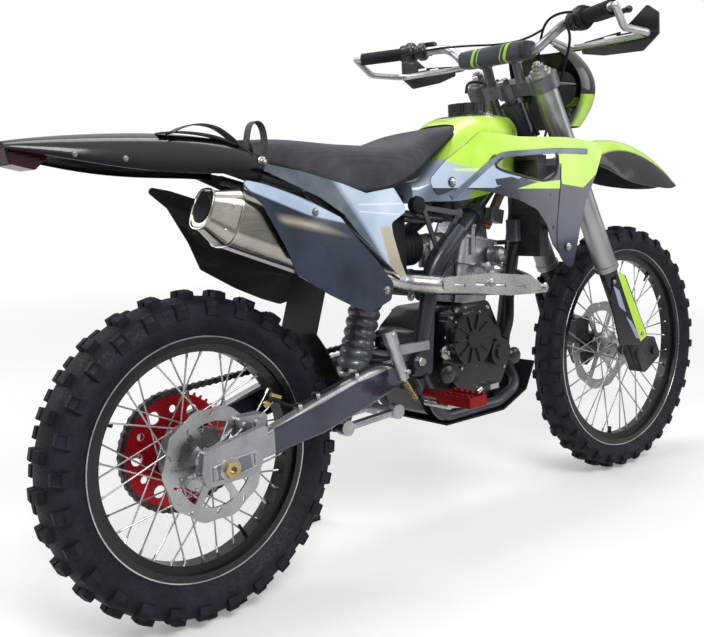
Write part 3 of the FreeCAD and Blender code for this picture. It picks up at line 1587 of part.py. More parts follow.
def foot_levers():
    """Brake pedal on the right and gear lever on the left."""
    side = -pedal_side
    pivot = side_point(pedal_pivot, side)
    tip = side_point(pedal_tip, side - pedal_step)
    arm = pipe([pivot, side_point(pedal_knee, side), tip], pedal_arm_radius, pedal_bend)
    tread = box(V(tip.x - pedal_tread_half, side - pedal_tread_width, tip.z - pedal_tread_thickness / 2),
                V(tip.x + pedal_tread_half, side, tip.z + pedal_tread_thickness / 2))
    boss = rod(side_point(pedal_pivot, -cradle_spread), pivot - V(0, pedal_arm_radius, 0), pedal_boss_radius)
    right = joined([arm, tread, boss]).cut(frame_cradle())
    pivot = side_point(lever_pivot, lever_side)
    tip = side_point(lever_tip, lever_side + lever_step)
    arm = pipe([pivot, side_point(lever_knee, lever_side), tip], pedal_arm_radius, pedal_bend)
    tread = rod(side_point(lever_tip, lever_side), tip + V(0, lever_tread_length, 0), lever_tread_radius)
    shaft = rod(side_point(lever_pivot, case_half), pivot + V(0, pedal_arm_radius, 0), lever_shaft_radius)
    left = joined([arm, tread, shaft]).cut(frame_cradle())
    return Part.Compound([right, left])


def caliper(centre, half_length, half_height, inner, outer, disc, disc_side, radius):
    """Rounded caliper body over a disc, with two pistons on its outer face."""
    corners = [(centre.x + half_length * u, centre.z + half_height * w)
               for u, w in ((-1, -1), (1, -1), (1, 1), (-1, 1))]
    body = rounded_slab(corners, min(inner, outer), max(inner, outer), caliper_bend)
    depth = piston_depth if outer > inner else -piston_depth
    pieces = [body]
    for side in (-piston_spread_share, piston_spread_share):
        pieces.append(disc_at((centre.x + half_length * side, centre.z), outer, depth, piston_radius))
    slot = disc_thickness / 2 + running_gap
    room = rod(disc + V(0, disc_side - slot, 0), disc + V(0, disc_side + slot, 0), radius + running_gap)
    return joined(pieces).cut(room)


def rear_brake():
    """Caliper and its hanger over the rear disc, and the master cylinder beside the frame."""
    turn = math.radians(caliper_turn)
    out = V(math.cos(turn), 0, math.sin(turn))
    centre = rear_axle_place + out * (rear_disc_radius - caliper_overhang)
    body = caliper(centre, caliper_half_length, caliper_half_height, -rear_disc_offset + caliper_half_depth,
                   -rear_disc_offset - caliper_half_depth, rear_axle_place, -rear_disc_offset, rear_disc_radius)
    face = -(arm_spread - arm_width / 2 - fit_gap)
    square = V(-out.z, 0, out.x) * hanger_radius
    wide, slim = hanger_half_shares
    corners = [rear_axle_place - square * wide, centre - square * slim, centre + square * slim,
               rear_axle_place + square * wide]
    plate = slab([(corner.x, corner.z) for corner in corners], face, face + hanger_thickness)
    ring = rod(V(0, face, rear_axle_height), V(0, face + hanger_thickness, rear_axle_height), hanger_radius)
    hanger = joined([plate, ring]).cut(cross_rod(rear_axle_place, arm_spread, rear_axle_radius + fit_gap))
    low = side_point(master_low, -master_side)
    high = side_point(master_high, -master_side)
    cap = rod(high - (high - low) * master_cap_share, high, master_cap_radius)
    first = -spar_spread - lower_spar_thickness / 2
    x, z = master_bracket_corner
    bracket = box(V(x, first - master_bracket_thickness, z),
                  V(x + master_bracket_span[0], first, z + master_bracket_span[1]))
    master = joined([rod(low, high, master_radius), cap, bracket])
    return Part.Compound([joined([body, hanger]).cut(swingarm()), master])


def chain_guards():
    """Cover over the drive sprocket, on a post ahead of the chain."""
    first = chain_line + chain_width / 2 + running_gap
    size = front_pitch_radius + chain_depth
    outline = placed((countershaft_place.x, countershaft_place.z), (size, size), cover_shares)
    cover = rounded_slab(outline, first, first + cover_depth, cover_bend)
    post = rod(V(countershaft_place.x + size * cover_post_share, case_half, countershaft_place.z),
               V(countershaft_place.x + size * cover_post_share, first + overrun, countershaft_place.z),
               panel_post_radius)
    return joined([cover, post])


def stand_axis():
    """Hinge line of the side stand, tilted so that the leg folds along the machine."""
    tilt = math.radians(side_stand_axis_tilt)
    return V(0, math.cos(tilt), math.sin(tilt))


def stand_pivot():
    """Middle of the side stand's hinge."""
    return V(side_stand_pivot[0], side_stand_side, side_stand_pivot[1])


def side_stand():
    """Leg from its hinge under the left arm down to a flat foot on the floor."""
    pivot = stand_pivot()
    lean = math.radians(stand_lean)
    foot = V(pivot.x + side_stand_foot_lead, side_stand_foot_side, side_stand_foot_side * math.tan(lean))
    leg = rod(pivot, foot + V(0, 0, side_stand_radius), side_stand_radius)
    half = stand_axis() * side_stand_eye_half
    eye = rod(pivot - half, pivot + half, side_stand_eye_radius)
    reach = V(side_stand_foot_length / 2, side_stand_foot_width / 2, 0)
    pad = box(foot - reach, foot + reach + V(0, 0, side_stand_foot_thickness))
    pad.rotate(foot, V(1, 0, 0), stand_lean)
    bore = rod(pivot - half * 2, pivot + half * 2, side_stand_bolt_radius + fit_gap)
    return joined([leg, eye, pad]).cut(bore)


def stand_bracket():
    """Lug under the left arm, and the bolt that carries the side stand."""
    pivot = stand_pivot()
    along = stand_axis()
    near = pivot - along * (side_stand_eye_half + running_gap)
    far = pivot + along * (side_stand_eye_half + 2 * running_gap)
    bolt = rod(near, far, side_stand_bolt_radius)
    head = rod(far, far + along * (side_stand_bolt_radius / 2), side_stand_eye_radius * side_stand_head_share)
    lug = rod(near - along * side_stand_lug, near, side_stand_eye_radius)
    root = near - along * (side_stand_lug - side_stand_post_radius)
    post = rod(root, root + V(0, 0, side_stand_post), side_stand_post_radius)
    return joined([lug, bolt, head, post])


def fork_outers():
    """Wide upper tubes of the fork, with their caps and seal rings."""
    pieces = []
    for side in (-fork_spread, fork_spread):
        tube = rod(fork_point(outer_low, side), fork_point(outer_high, side), outer_radius)
        cap = rod(fork_point(outer_high, side), fork_point(outer_high + fork_cap_height, side), fork_cap_radius)
        seal = rod(fork_point(outer_low, side), fork_point(outer_low + outer_seal_height, side),
                   outer_radius + outer_seal_extra)
        bore = rod(fork_point(outer_low - overrun, side), fork_point(outer_high - fork_cap_depth, side),
                   slider_radius)
        pieces.append(joined([tube, cap, seal]).cut(bore))
    return Part.Compound(pieces)


def fork_lowers():
    """Slim lower tubes, the clamps at their feet and the axle between them."""
    pieces = []
    half = axle_clamp_width / 2
    corners = [(-half, -axle_clamp_drop), (half + fork_lead, -axle_clamp_drop),
               (half + fork_lead, axle_clamp_height - axle_clamp_drop - axle_clamp_bend),
               (half, axle_clamp_height - axle_clamp_drop), (-half, axle_clamp_height - axle_clamp_drop)]
    for side in (-fork_spread, fork_spread):
        pieces.append(rod(fork_point(0, side), fork_point(outer_low + slider_overlap, side), slider_radius))
        clamp = rounded_slab(corners, -half, half, axle_clamp_bend)
        clamp.rotate(V(0, 0, 0), V(0, 1, 0), -steering_rake)
        clamp.translate(fork_point(0, side))
        pieces.append(clamp)
    pieces.append(cross_rod(front_axle_place, fork_spread + half + front_axle_step, front_axle_radius))
    return joined(pieces)


def bar_place():
    """Middle of the handlebar."""
    return V(bar_set, 0, bar_height)


def bar_mounts(extra=0.0):
    """Two posts from the upper clamp to rings round the bar, wider all round by an amount."""
    top = upper_clamp_place + clamp_height / 2
    mounts = []
    for side in (-bar_mount_spread, bar_mount_spread):
        centre = bar_place() + V(0, side, 0)
        foot = fork_point(top - clamp_height / 2, side, -clamp_offset)
        mounts.append(rod(foot, centre, bar_mount_radius + extra))
        mounts.append(cross_rod(centre, bar_mount_half + extra, bar_radius + bar_mount_wall + extra))
    return joined(mounts)


def triple_clamps():
    """Two clamps that hold the fork tubes, the stem between them and the handlebar mounts."""
    pieces = []
    ring = outer_radius + clamp_wall
    for along in (lower_clamp_place, upper_clamp_place):
        low = along - clamp_height / 2
        high = along + clamp_height / 2
        for side in (-fork_spread, fork_spread):
            pieces.append(rod(fork_point(low, side), fork_point(high, side), ring))
        pieces.append(rod(fork_point(low, 0, -clamp_offset), fork_point(high, 0, -clamp_offset), clamp_boss))
        web = box(V(-clamp_offset - clamp_wall, -fork_spread, 0), V(clamp_wall, fork_spread, clamp_height))
        web.rotate(V(0, 0, 0), V(0, 1, 0), -steering_rake)
        web.translate(fork_point(low))
        pieces.append(web)
    stem = rod(fork_point(lower_clamp_place, 0, -clamp_offset), fork_point(upper_clamp_place, 0, -clamp_offset),
               stem_radius)
    whole = joined(pieces + [stem, bar_mounts()])
    tubes = []
    for side in (-fork_spread, fork_spread):
        tubes.append(rod(fork_point(lower_clamp_place - clamp_height, side), fork_point(outer_high, side),
                         outer_radius))
    return whole.cut(tubes + [cross_rod(bar_place(), bar_centre_half, bar_radius)])


def bar_half(side):
    """Handlebar points from its middle to one end."""
    return [bar_place(), V(bar_set, side * bar_centre_half, bar_height),
            V(bar_rise[0], side * bar_rise[1], bar_rise[2]), V(bar_end[0], side * bar_end[1], bar_end[2])]


def bar_end_frame(side):
    """End of the bar and its direction inward."""
    points = bar_half(side)
    return points[3], (points[2] - points[3]).normalize()


def handlebar():
    """Bent bar that rises on each side of its mounts, thicker in its middle."""
    points = list(reversed(bar_half(-1)))[:-1] + bar_half(1)[1:]
    thick = cross_rod(bar_place(), bar_centre_half * bar_thick_share, bar_radius)
    return joined([pipe(points, grip_bar_radius, bar_bend), thick])


def bar_pad():
    """Foam pad round the middle of the bar and its mounts."""
    centre = bar_place() + V(-pad_set, 0, pad_rise)
    wires = []
    for side in (-pad_half_length, pad_half_length):
        wires.append(oval_wire(centre + V(0, side, 0), V(0, 1, 0), V(1, 0, 0), pad_half_depth, pad_half_height,
                               pad_square_share))
    bar = cross_rod(bar_place(), pad_half_length + overrun, bar_radius + fit_gap)
    return loft(wires).cut([bar, bar_mounts(fit_gap)])


def grips():
    """Rubber grips on the ends of the bar, with flanges at their inner ends."""
    pieces = []
    for side in (1, -1):
        end, inward = bar_end_frame(side)
        inner = end + inward * grip_length
        hand = sleeve(end, inner, grip_radius, grip_bar_radius)
        flange = sleeve(inner - inward * grip_flange, inner, grip_flange_radius, grip_bar_radius)
        pieces.append(joined([hand, flange]))
    return Part.Compound(pieces)


def controls():
    """Housings inside the grips, and lever perches with ball-ended levers ahead of the grips."""
    pieces = []
    for side in (1, -1):
        end, inward = bar_end_frame(side)
        start = end + inward * (grip_length + fit_gap)
        housing = rod(start, start + inward * housing_length, grip_bar_radius + housing_wall)
        perch = start + inward * (housing_length + perch_gap + perch_half)
        clamp = rod(perch - inward * (perch_half + perch_gap + overrun), perch + inward * perch_half,
                    grip_bar_radius + perch_wall)
        pivot = perch + V(perch_reach, 0, 0)
        tip = end + V(lever_reach, 0, 0)
        lever = pipe([pivot, pivot - inward * lever_bow_place + V(lever_bow, 0, 0), tip], lever_radius, pedal_bend)
        ball = Part.makeSphere(lever_ball_radius, tip)
        whole = joined([housing, clamp, rod(perch, pivot, perch_arm_radius), lever, ball])
        pieces.append(whole.cut(handlebar()))
    return Part.Compound(pieces)


def handguards():
    """Bows from the bar ends round the levers to the bar, each with a slotted shield."""
    bows = []
    for side in (1, -1):
        end, inward = bar_end_frame(side)
        knuckle = end - inward * guard_bow_set
        plug = rod(end - inward * fit_gap, knuckle, guard_bow_radius)
        corners = [knuckle] + [V(x, side * y, z) for x, y, z in (guard_bow_side, guard_bow_front, guard_bow_inner,
                                                                 guard_bow_foot)]
        elbow = Part.makeSphere(guard_bow_radius, knuckle)
        bow = joined([plug, elbow, pipe(corners, guard_bow_radius, guard_bow_bend)])
        bows.append(joined([bow, hand_shield(side)]).cut(handlebar()))
    return Part.Compound(bows)


def hand_shield(side):
    """Slotted plate on the front of one bow."""
    corner = (hand_shield_inner, hand_shield_low)
    span = (hand_shield_outer - hand_shield_inner, hand_shield_rise)
    face = guard_bow_front[0] + guard_bow_radius
    plate = rounded_slab(placed(corner, span, hand_shield_shares), -face - hand_shield_thickness, -face,
                         hand_shield_bend)
    slots = []
    for y, z in placed(corner, span, hand_shield_slots_shares):
        slots.append(box(V(y, -face - hand_shield_thickness - overrun, z),
                         V(y + hand_shield_slot_length, -face + overrun, z + hand_shield_slot_height)))
    plate = plate.cut(slots)
    plate.rotate(V(0, 0, 0), V(0, 0, 1), 90)
    return plate if side > 0 else mirrored(plate)


def mask_wire(share, front_share, half_share, inset):
    """Level section of the mask at a share of its height, smaller all round by an amount."""
    z = mask_low + mask_rise * share
    front = mask_front + mask_sweep * front_share - inset
    half = mask_half_width * half_share
    rear = front - mask_sweep
    shoulder = front - mask_bow
    wide = half * mask_bow_share
    curve = Part.BSplineCurve()
    curve.interpolate([V(rear, -half + inset, z), V(shoulder, -wide, z), V(front, 0, z), V(shoulder, wide, z),
                       V(rear, half - inset, z)])
    back = Part.LineSegment(V(rear, half - inset, z), V(rear, -half + inset, z))
    return Part.Wire([curve.toShape(), back.toShape()])


def headlight_mask():
    """Shield ahead of the forks with a round lamp, on two arms from the fork tubes."""
    outer = loft([mask_wire(*station, 0) for station in mask_stations_shares])
    inner = loft([mask_wire(*station, mask_thickness) for station in mask_stations_shares])
    height = mask_low + mask_rise * lamp_place_share
    lamp = rod(V(mask_front - lamp_depth, 0, height), V(mask_front, 0, height), lamp_radius).common(outer)
    arms = []
    for side in (-fork_spread, fork_spread):
        along = (height - fork_foot.z) / fork_up.z
        arms.append(rod(fork_point(along, side), V(mask_front - mask_sweep * mask_arm_share, side, height),
                        mask_arm_radius))
    return joined([outer.cut(inner), lamp] + arms).cut([fork_outers(), triple_clamps()])


def front_fender():
    """Long blade over the front wheel, held under the lower clamp."""
    shell = trough(front_fender_rear, front_fender_tip - front_fender_rear, front_fender_half, front_fender_low,
                   front_fender_rise, front_fender_stations_shares, front_fender_section_shares)
    top = lower_clamp_place - clamp_height / 2
    boss = rod(fork_point(top - fender_boss), fork_point(top + overrun), fender_boss_radius)
    return joined([shell, boss]).cut(triple_clamps())


def fork_guards():
    """Plastic shields ahead of the lower fork tubes."""
    outline = placed(guard_corner, guard_span, guard_shares)
    first = -(fork_spread + slider_radius + fit_gap)
    return both(rounded_slab(outline, first - guard_thickness, first, guard_bend))


def front_caliper():
    """Caliper behind the left fork leg, over the disc."""
    turn = math.radians(front_caliper_turn)
    reach = front_disc_radius - front_caliper_inset
    centre = front_axle_place + V(reach * math.cos(turn), 0, reach * math.sin(turn))
    outer = fork_spread - slider_radius - fit_gap
    body = caliper(centre, front_caliper_half_length, front_caliper_half_height,
                   front_disc_offset - front_caliper_inner, outer, front_axle_place, front_disc_offset,
                   front_disc_radius)
    return body.cut(fork_lowers())


def build():
    """Every piece by name, upright."""
    pieces = {
        "frame_main": frame_main(),
        "frame_cradle": frame_cradle(),
        "subframe": subframe(),
        "skid_plate": skid_plate(),
        "swingarm": swingarm(),
        "rear_axle": rear_axle(),
        "chain": chain(),
        "chain_guards": chain_guards(),
        "shock_body": shock_body(),
        "shock_spring": shock_spring(),
        "linkage": linkage(),
        "crankcase": crankcase(),
        "engine_covers": engine_covers(),
        "cylinder": cylinder(),
        "throttle_body": throttle_body(),
        "intake_boot": intake_boot(),
        "airbox": airbox(),
        "header_pipe": header_pipe(),
        "heat_shield": heat_shield(),
        "silencer": silencer(),
        "fuel_tank": fuel_tank(),
        "fuel_cap": fuel_cap(),
        "radiators": radiators(),
        "shrouds": shrouds(),
        "seat": seat(),
        "side_panels": side_panels(),
        "mid_panels": mid_panels(),
        "mud_flap": mud_flap(),
        "rear_fender": rear_fender(),
        "tail_light": tail_light(),
        "plate_bracket": plate_bracket(),
        "footpegs": footpegs(),
        "foot_levers": foot_levers(),
        "rear_brake": rear_brake(),
        "side_stand": side_stand(),
        "triple_clamps": triple_clamps(),
        "fork_outers": fork_outers(),
        "fork_lowers": fork_lowers(),
        "fork_guards": fork_guards(),
        "front_caliper": front_caliper(),
        "handlebar": handlebar(),
        "bar_pad": bar_pad(),
        "grips": grips(),
        "controls": controls(),
        "handguards": handguards(),
        "headlight_mask": headlight_mask(),
        "front_fender": front_fender(),
    }
    rear_lug = (rear_lug_height, rear_lug_length, rear_lug_rows)
    front_lug = (front_lug_height, front_lug_length, front_lug_rows)
    pieces["rear_tyre"] = tyre(rear_axle_place, rear_tyre_radius, rear_tyre_width, rear_crown_radius, rear_lug,
                               rear_lip_radius, rear_bead_radius, rear_rim_width)
    pieces["front_tyre"] = tyre(front_axle_place, front_tyre_radius, front_tyre_width, front_crown_radius, front_lug,
                                front_lip_radius, front_bead_radius, front_rim_width)
    pieces["rear_rim"] = rim(rear_axle_place, rear_lip_radius, rear_bead_radius, rear_rim_width)
    pieces["front_rim"] = rim(front_axle_place, front_lip_radius, front_bead_radius, front_rim_width)
    pieces["rear_hub"] = hub(rear_axle_place, rear_hub_radius, rear_flange_radius, rear_flange_spread,
                             rear_hub_width, rear_axle_radius + fit_gap)
    pieces["front_hub"] = hub(front_axle_place, front_hub_radius, front_flange_radius, front_flange_spread,
                              front_hub_width, front_axle_radius + fit_gap)
    rear_under = rear_bead_radius - rim_well_depth - rim_wall
    front_under = front_bead_radius - rim_well_depth - rim_wall
    rear_set = spokes(rear_axle_place, rear_flange_radius, rear_flange_spread, rear_under + spoke_radius)
    front_set = spokes(front_axle_place, front_flange_radius, front_flange_spread, front_under + spoke_radius)
    pieces["rear_spokes"] = trimmed(rear_set, [pieces["rear_rim"], pieces["rear_hub"]])
    pieces["front_spokes"] = trimmed(front_set, [pieces["front_rim"], pieces["front_hub"]])
    pieces["rear_disc"] = brake_disc(rear_axle_place, rear_disc_radius, -rear_disc_offset, rear_hub_radius)
    pieces["front_disc"] = brake_disc(front_axle_place, front_disc_radius, front_disc_offset, front_hub_radius)
    pieces["rear_sprocket"] = rear_sprocket()
    return pieces


def parked(pieces):
    """The same pieces leaned on the stand and centred over the floor."""
    leaned = {}
    bounds = FreeCAD.BoundBox()
    for name, shape in pieces.items():
        copy = shape.copy()
        copy.rotate(V(0, 0, 0), V(1, 0, 0), -stand_lean)
        leaned[name] = copy
        bounds.add(copy.optimalBoundingBox(False))
    shift = V(-bounds.Center.x, -bounds.Center.y, 0)
    for shape in leaned.values():
        shape.translate(shift)
    return leaned


def main():
    os.makedirs("parts", exist_ok=True)
    for name, shape in parked(build()).items():
        shape.exportStep(f"parts/{name}.step")


main()
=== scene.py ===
"""Trail motorcycle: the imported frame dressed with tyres, soft pieces, hoses, fasteners and finishes.

Lengths are millimetres on the upright machine: x ahead of the rear axle, y to the left, z above the floor.
"""

import json
import math

import bmesh
import bpy
from mathutils import Matrix, Vector


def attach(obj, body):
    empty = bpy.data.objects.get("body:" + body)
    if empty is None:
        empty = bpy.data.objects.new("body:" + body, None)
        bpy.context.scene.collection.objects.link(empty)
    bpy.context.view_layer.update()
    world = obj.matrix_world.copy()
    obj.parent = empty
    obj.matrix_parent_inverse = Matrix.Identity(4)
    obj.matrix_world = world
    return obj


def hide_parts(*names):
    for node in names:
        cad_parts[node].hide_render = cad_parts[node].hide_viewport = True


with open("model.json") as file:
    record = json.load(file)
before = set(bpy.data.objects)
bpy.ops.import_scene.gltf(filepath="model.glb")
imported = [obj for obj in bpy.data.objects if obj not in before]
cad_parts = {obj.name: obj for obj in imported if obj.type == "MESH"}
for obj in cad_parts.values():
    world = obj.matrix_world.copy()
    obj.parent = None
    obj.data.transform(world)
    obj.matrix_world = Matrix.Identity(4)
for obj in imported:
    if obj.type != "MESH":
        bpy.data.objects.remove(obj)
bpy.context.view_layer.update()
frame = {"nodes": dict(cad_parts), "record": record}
scene = bpy.context.scene
record = frame["record"]
joints = {joint["name"]: joint for joint in record["behaviour"]["joints"]}

# Place of the upright machine in the frame, where it leans on its stand
LEAN = math.radians(6)
axle = Vector(joints["rear_wheel_spin"]["pos_m"])
shift = Vector((axle.x, axle.y - axle.z * math.tan(LEAN), 0))
PARKED = Matrix.Translation(shift) @ Matrix.Rotation(-LEAN, 4, "X") @ Matrix.Scale(0.001, 4)
UPRIGHT = PARKED.inverted()

# Main places of the machine
REAR_AXLE = Vector((0, 0, 332.46))
FRONT_AXLE = Vector((1405, 0, 348.33))
FORK_UP = Vector((-0.45399, 0, 0.89101))
FORK_AHEAD = Vector((0.89101, 0, 0.45399))
FORK_FOOT = UPRIGHT @ Vector(joints["front_wheel_spin"]["pos_m"]) - FORK_AHEAD * 48
AXIS_X = Vector((1, 0, 0))
AXIS_Y = Vector((0, 1, 0))
AXIS_Z = Vector((0, 0, 1))

# Sizes that several functions share, and numbers whose meaning a formula doesn't show
SPOKES = 36
FORK_SPREAD = 98  # from the middle to a fork tube
ENGINE_SIDE = 106  # from the middle to the face of the engine cases
ARM_SIDE = 130.6  # from the middle to the outer face of an axle block
PAD_SQUARENESS = 0.62  # 1 makes the bar pad round, and 0 square


def fork_point(along, side=0.0, ahead=0.0):
    """Point by its distance up the fork, to the left and ahead of the tubes."""
    return FORK_FOOT + FORK_UP * along + FORK_AHEAD * ahead + AXIS_Y * side


# ---- materials

WAVE = 0.31  # scale of a wave texture, times the length of its waves


def linear(colour):
    """Linear colour of an sRGB one given as 0 to 255."""
    values = [c / 255 for c in colour]
    return [v / 12.92 if v <= 0.04045 else ((v + 0.055) / 1.055) ** 2.4 for v in values] + [1.0]


def connect(tree, node, inputs):
    """Links or sets the inputs of a node."""
    for key, value in inputs.items():
        if isinstance(value, bpy.types.NodeSocket):
            tree.links.new(value, node.inputs[key])
        else:
            node.inputs[key].default_value = value


def add_node(tree, kind, inputs=None, **settings):
    """New shader node of a kind with its settings, values and links."""
    made = tree.nodes.new("ShaderNode" + kind)
    for key, value in settings.items():
        setattr(made, key, value)
    connect(tree, made, inputs or {})
    return made


def computed(tree, operation, *values, **settings):
    """Result of an operation on numbers."""
    return add_node(tree, "Math", dict(enumerate(values)), operation=operation, **settings).outputs[0]


def upright_coordinates(tree):
    """Coordinates of a surface point on the upright machine, in millimetres."""
    source = add_node(tree, "TexCoord").outputs["Object"]
    return add_node(tree, "Mapping", {
        "Vector": source, "Location": UPRIGHT.to_translation(), "Rotation": (LEAN, 0, 0),
        "Scale": (1000, 1000, 1000)}).outputs["Vector"]


def noise(tree, coordinates, scale, detail, stretch=(1, 1, 1)):
    """Noise over the coordinates, drawn out where stretch is small."""
    if stretch != (1, 1, 1):
        coordinates = add_node(tree, "Mapping", {"Vector": coordinates, "Scale": stretch}).outputs[0]
    return add_node(tree, "TexNoise", {"Vector": coordinates, "Scale": scale, "Detail": detail}).outputs["Fac"]


def ranged(tree, value, low, high, first=0.35, last=0.65):
    """Value spread from a first and last reading to a low and high one."""
    return add_node(tree, "MapRange", {"Value": value, "From Min": first, "From Max": last, "To Min": low,
                                       "To Max": high}).outputs["Result"]


def mixed(tree, share, first, second):
    """Colour between two colours."""
    return add_node(tree, "Mix", {0: share, 6: first, 7: second}, data_type="RGBA").outputs[2]


def mixed_value(tree, share, first, second):
    """Number between two numbers."""
    return add_node(tree, "Mix", {0: share, 2: first, 3: second}, data_type="FLOAT").outputs[0]


def area(points, colours, **more):
    """Region of a finish within a convex outline of (x, z) corners."""
    pairs = list(zip(points, points[1:] + points[:1]))
    turning = sum(a[0] * b[1] - b[0] * a[1] for a, b in pairs)
    limits = []
    for a, b in pairs:
        run = Vector((b[0] - a[0], b[1] - a[1])).normalized()
        if turning < 0:
            run.negate()
        limits.append(((-run.y, 0.0, run.x), -run.y * a[0] + run.x * a[1]))
    return {"limits": limits, "colours": colours, **more}


def inside(tree, coordinates, limits, soft=1.0):
    """1 within all the limits and 0 outside."""
    whole = None
    for normal, distance in limits:
        along = add_node(tree, "VectorMath", {0: coordinates, 1: normal}, operation="DOT_PRODUCT")
        part = computed(tree, "MULTIPLY_ADD", along.outputs["Value"], 1 / soft, -distance / soft,
                        use_clamp=True)
        whole = part if whole is None else computed(tree, "MULTIPLY", whole, part)
    return whole


def facing(tree, coordinates, way):
    """1 on faces that aren't on top, look back, or look to the middle plane: the faces that get painted shade.
    """
    normal = add_node(tree, "SeparateXYZ", {0: add_node(tree, "TexCoord").outputs["Normal"]})
    if way == "level":
        return ranged(tree, normal.outputs["Z"], 1.0, 0.0, 0.42, 0.5)
    if way == "rearward":
        return ranged(tree, normal.outputs["X"], 1.0, 0.0, -0.25, -0.05)
    place = add_node(tree, "SeparateXYZ", {0: coordinates})
    outward = computed(tree, "MULTIPLY", normal.outputs["Y"], place.outputs["Y"])
    return ranged(tree, outward, 1.0, 0.0, -0.25, -0.05)


def dots(tree, coordinates, size):
    """Small raised dots."""
    made = add_node(tree, "TexVoronoi", {"Vector": coordinates, "Scale": 1 / size, "Randomness": 0.25})
    return ranged(tree, made.outputs["Distance"], 1.0, 0.0, 0.15, 0.5)


def weave(tree, coordinates, size):
    """Threads that cross."""
    bands = []
    for direction in "XZ":
        made = add_node(tree, "TexWave", {"Vector": coordinates, "Scale": WAVE / size, "Distortion": 0.4},
                        bands_direction=direction)
        bands.append(made.outputs["Fac"])
    return computed(tree, "MULTIPLY", *bands)


def fins(tree, coordinates, size):
    """Level fins, one above the other."""
    return add_node(tree, "TexWave", {"Vector": coordinates, "Scale": WAVE / size},
                    bands_direction="Z").outputs["Fac"]


def finish(name, dark, light, rough, metallic=0.0, coat=0.0, patch=0.012, grain=0.35, bump=0.12, height=0.4,
           stretch=(1, 1, 1), regions=(), pattern=None, size=2.0, sheen=0.0, depth=0.5, shine=0.5, shade_side=None):
    """Material with cloudy colour, uneven gloss, fine surface, regions of other colours, painted shade in
    pattern hollows and black painted shade on shaded faces.
    """
    made = bpy.data.materials.new(name)
    made.use_nodes = True
    tree = made.node_tree
    shader = tree.nodes["Principled BSDF"]
    coordinates = upright_coordinates(tree)
    clouds = ranged(tree, noise(tree, coordinates, patch, 5.0), 0, 1)
    colour = mixed(tree, clouds, linear(dark), linear(light))
    fine = noise(tree, coordinates, grain, 4.0, stretch)
    metal = None
    for region in regions:
        share = inside(tree, coordinates, region["limits"], region.get("soft", 1.0))
        near, far = region["colours"]
        tint = mixed(tree, clouds, linear(near), linear(far))
        colour = mixed(tree, share, colour, tint)
        if "metallic" in region:
            metal = mixed_value(tree, share, metallic if metal is None else metal, region["metallic"])
    roughness = ranged(tree, fine, *rough)
    # Painted shade: faces on the chosen side are coloured near black and made rougher
    if shade_side is not None:
        share = facing(tree, coordinates, shade_side)
        colour = mixed(tree, share, colour, linear((16, 17, 20)))
        roughness = mixed_value(tree, share, roughness, 0.6)
    surface = fine
    if pattern is not None:
        shape = pattern(tree, coordinates, size)
        # Painted shade: the colour darkens from full on the pattern's high parts to depth times it in the
        # hollows
        shade = ranged(tree, shape, depth, 1.0, 0.0, 1.0)
        colour = add_node(tree, "VectorMath", {0: colour, "Scale": shade}, operation="SCALE").outputs[0]
        surface = computed(tree, "MULTIPLY_ADD", fine, 0.25, shape)
    relief = add_node(tree, "Bump", {"Height": surface, "Strength": bump, "Distance": height * 0.001})
    connect(tree, shader, {
        "Base Color": colour, "Roughness": roughness, "Specular IOR Level": shine, "Coat Weight": coat,
        "Metallic": metallic if metal is None else metal, "Coat Roughness": 0.06, "Sheen Weight": sheen,
        "Normal": relief.outputs["Normal"]})
    finishes[name] = made
    return made


finishes = {}  # every finish by its name

LIME = [(188, 234, 62), (204, 246, 92)]
PALE_LIME = [(216, 240, 150), (232, 248, 190)]
PALE = [(168, 188, 214), (196, 212, 232)]
SLATE = [(34, 40, 55), (50, 58, 77)]
DEEP = [(38, 46, 64), (54, 64, 86)]
SILVER = [(176, 179, 182), (210, 212, 213)]
BLOCK = [(138, 141, 146), (170, 173, 178)]
BLACK = [(12, 13, 17), (24, 26, 32)]
LAVENDER = [(150, 158, 190), (172, 180, 208)]
# Painted reflection of the beige ground and buildings on glossy panels
REFLECTED_GROUND = [(168, 158, 142), (196, 186, 168)]
STRUT = [(88, 98, 114), (112, 122, 138)]

finish("dark_frame", (38, 44, 51), (56, 63, 72), (0.26, 0.4), 0.4, 0.3, bump=0.03)
finish("black_plastic", *BLACK, (0.42, 0.62), grain=0.9, bump=0.3, shine=0.3)
finish("gloss_black", (6, 8, 12), (14, 17, 25), (0.14, 0.24), coat=0.35, bump=0.02, shine=0.4)
finish("arm_paint", *SLATE, (0.18, 0.28), 0.2, 0.6, bump=0.01, regions=[
    area([(60, 375), (330, 439), (330, 520), (60, 520)], SILVER, metallic=0.6, soft=2.0),
    area([(330, 439), (540, 461), (540, 520), (330, 520)], SILVER, metallic=0.6, soft=2.0),
    area([(-80, 290), (110, 290), (110, 420), (-80, 420)], BLOCK, metallic=0.8, soft=2.0)])
finish("bare_alloy", (150, 153, 158), (188, 191, 196), (0.24, 0.42), 0.95, bump=0.05)
finish("gold_axle", (168, 144, 86), (204, 182, 124), (0.14, 0.28), 1.0, bump=0.06)
finish("dark_chain", (44, 44, 46), (92, 88, 84), (0.32, 0.55), 0.9, patch=0.08, bump=0.3)
finish("steel", (158, 158, 158), (206, 206, 204), (0.2, 0.3), 1.0, bump=0.01, stretch=(0.06, 1, 1))
finish("spring_paint", (92, 98, 106), (124, 130, 138), (0.25, 0.4), 0.4, 0.3, bump=0.08)
finish("engine_black", (7, 8, 10), (20, 22, 26), (0.22, 0.38), 0.1, 0.35, patch=0.03, grain=0.8, bump=0.12)
finish("rubber_black", (12, 14, 17), (28, 31, 38), (0.5, 0.75), grain=0.9, bump=0.25, shine=0.25)
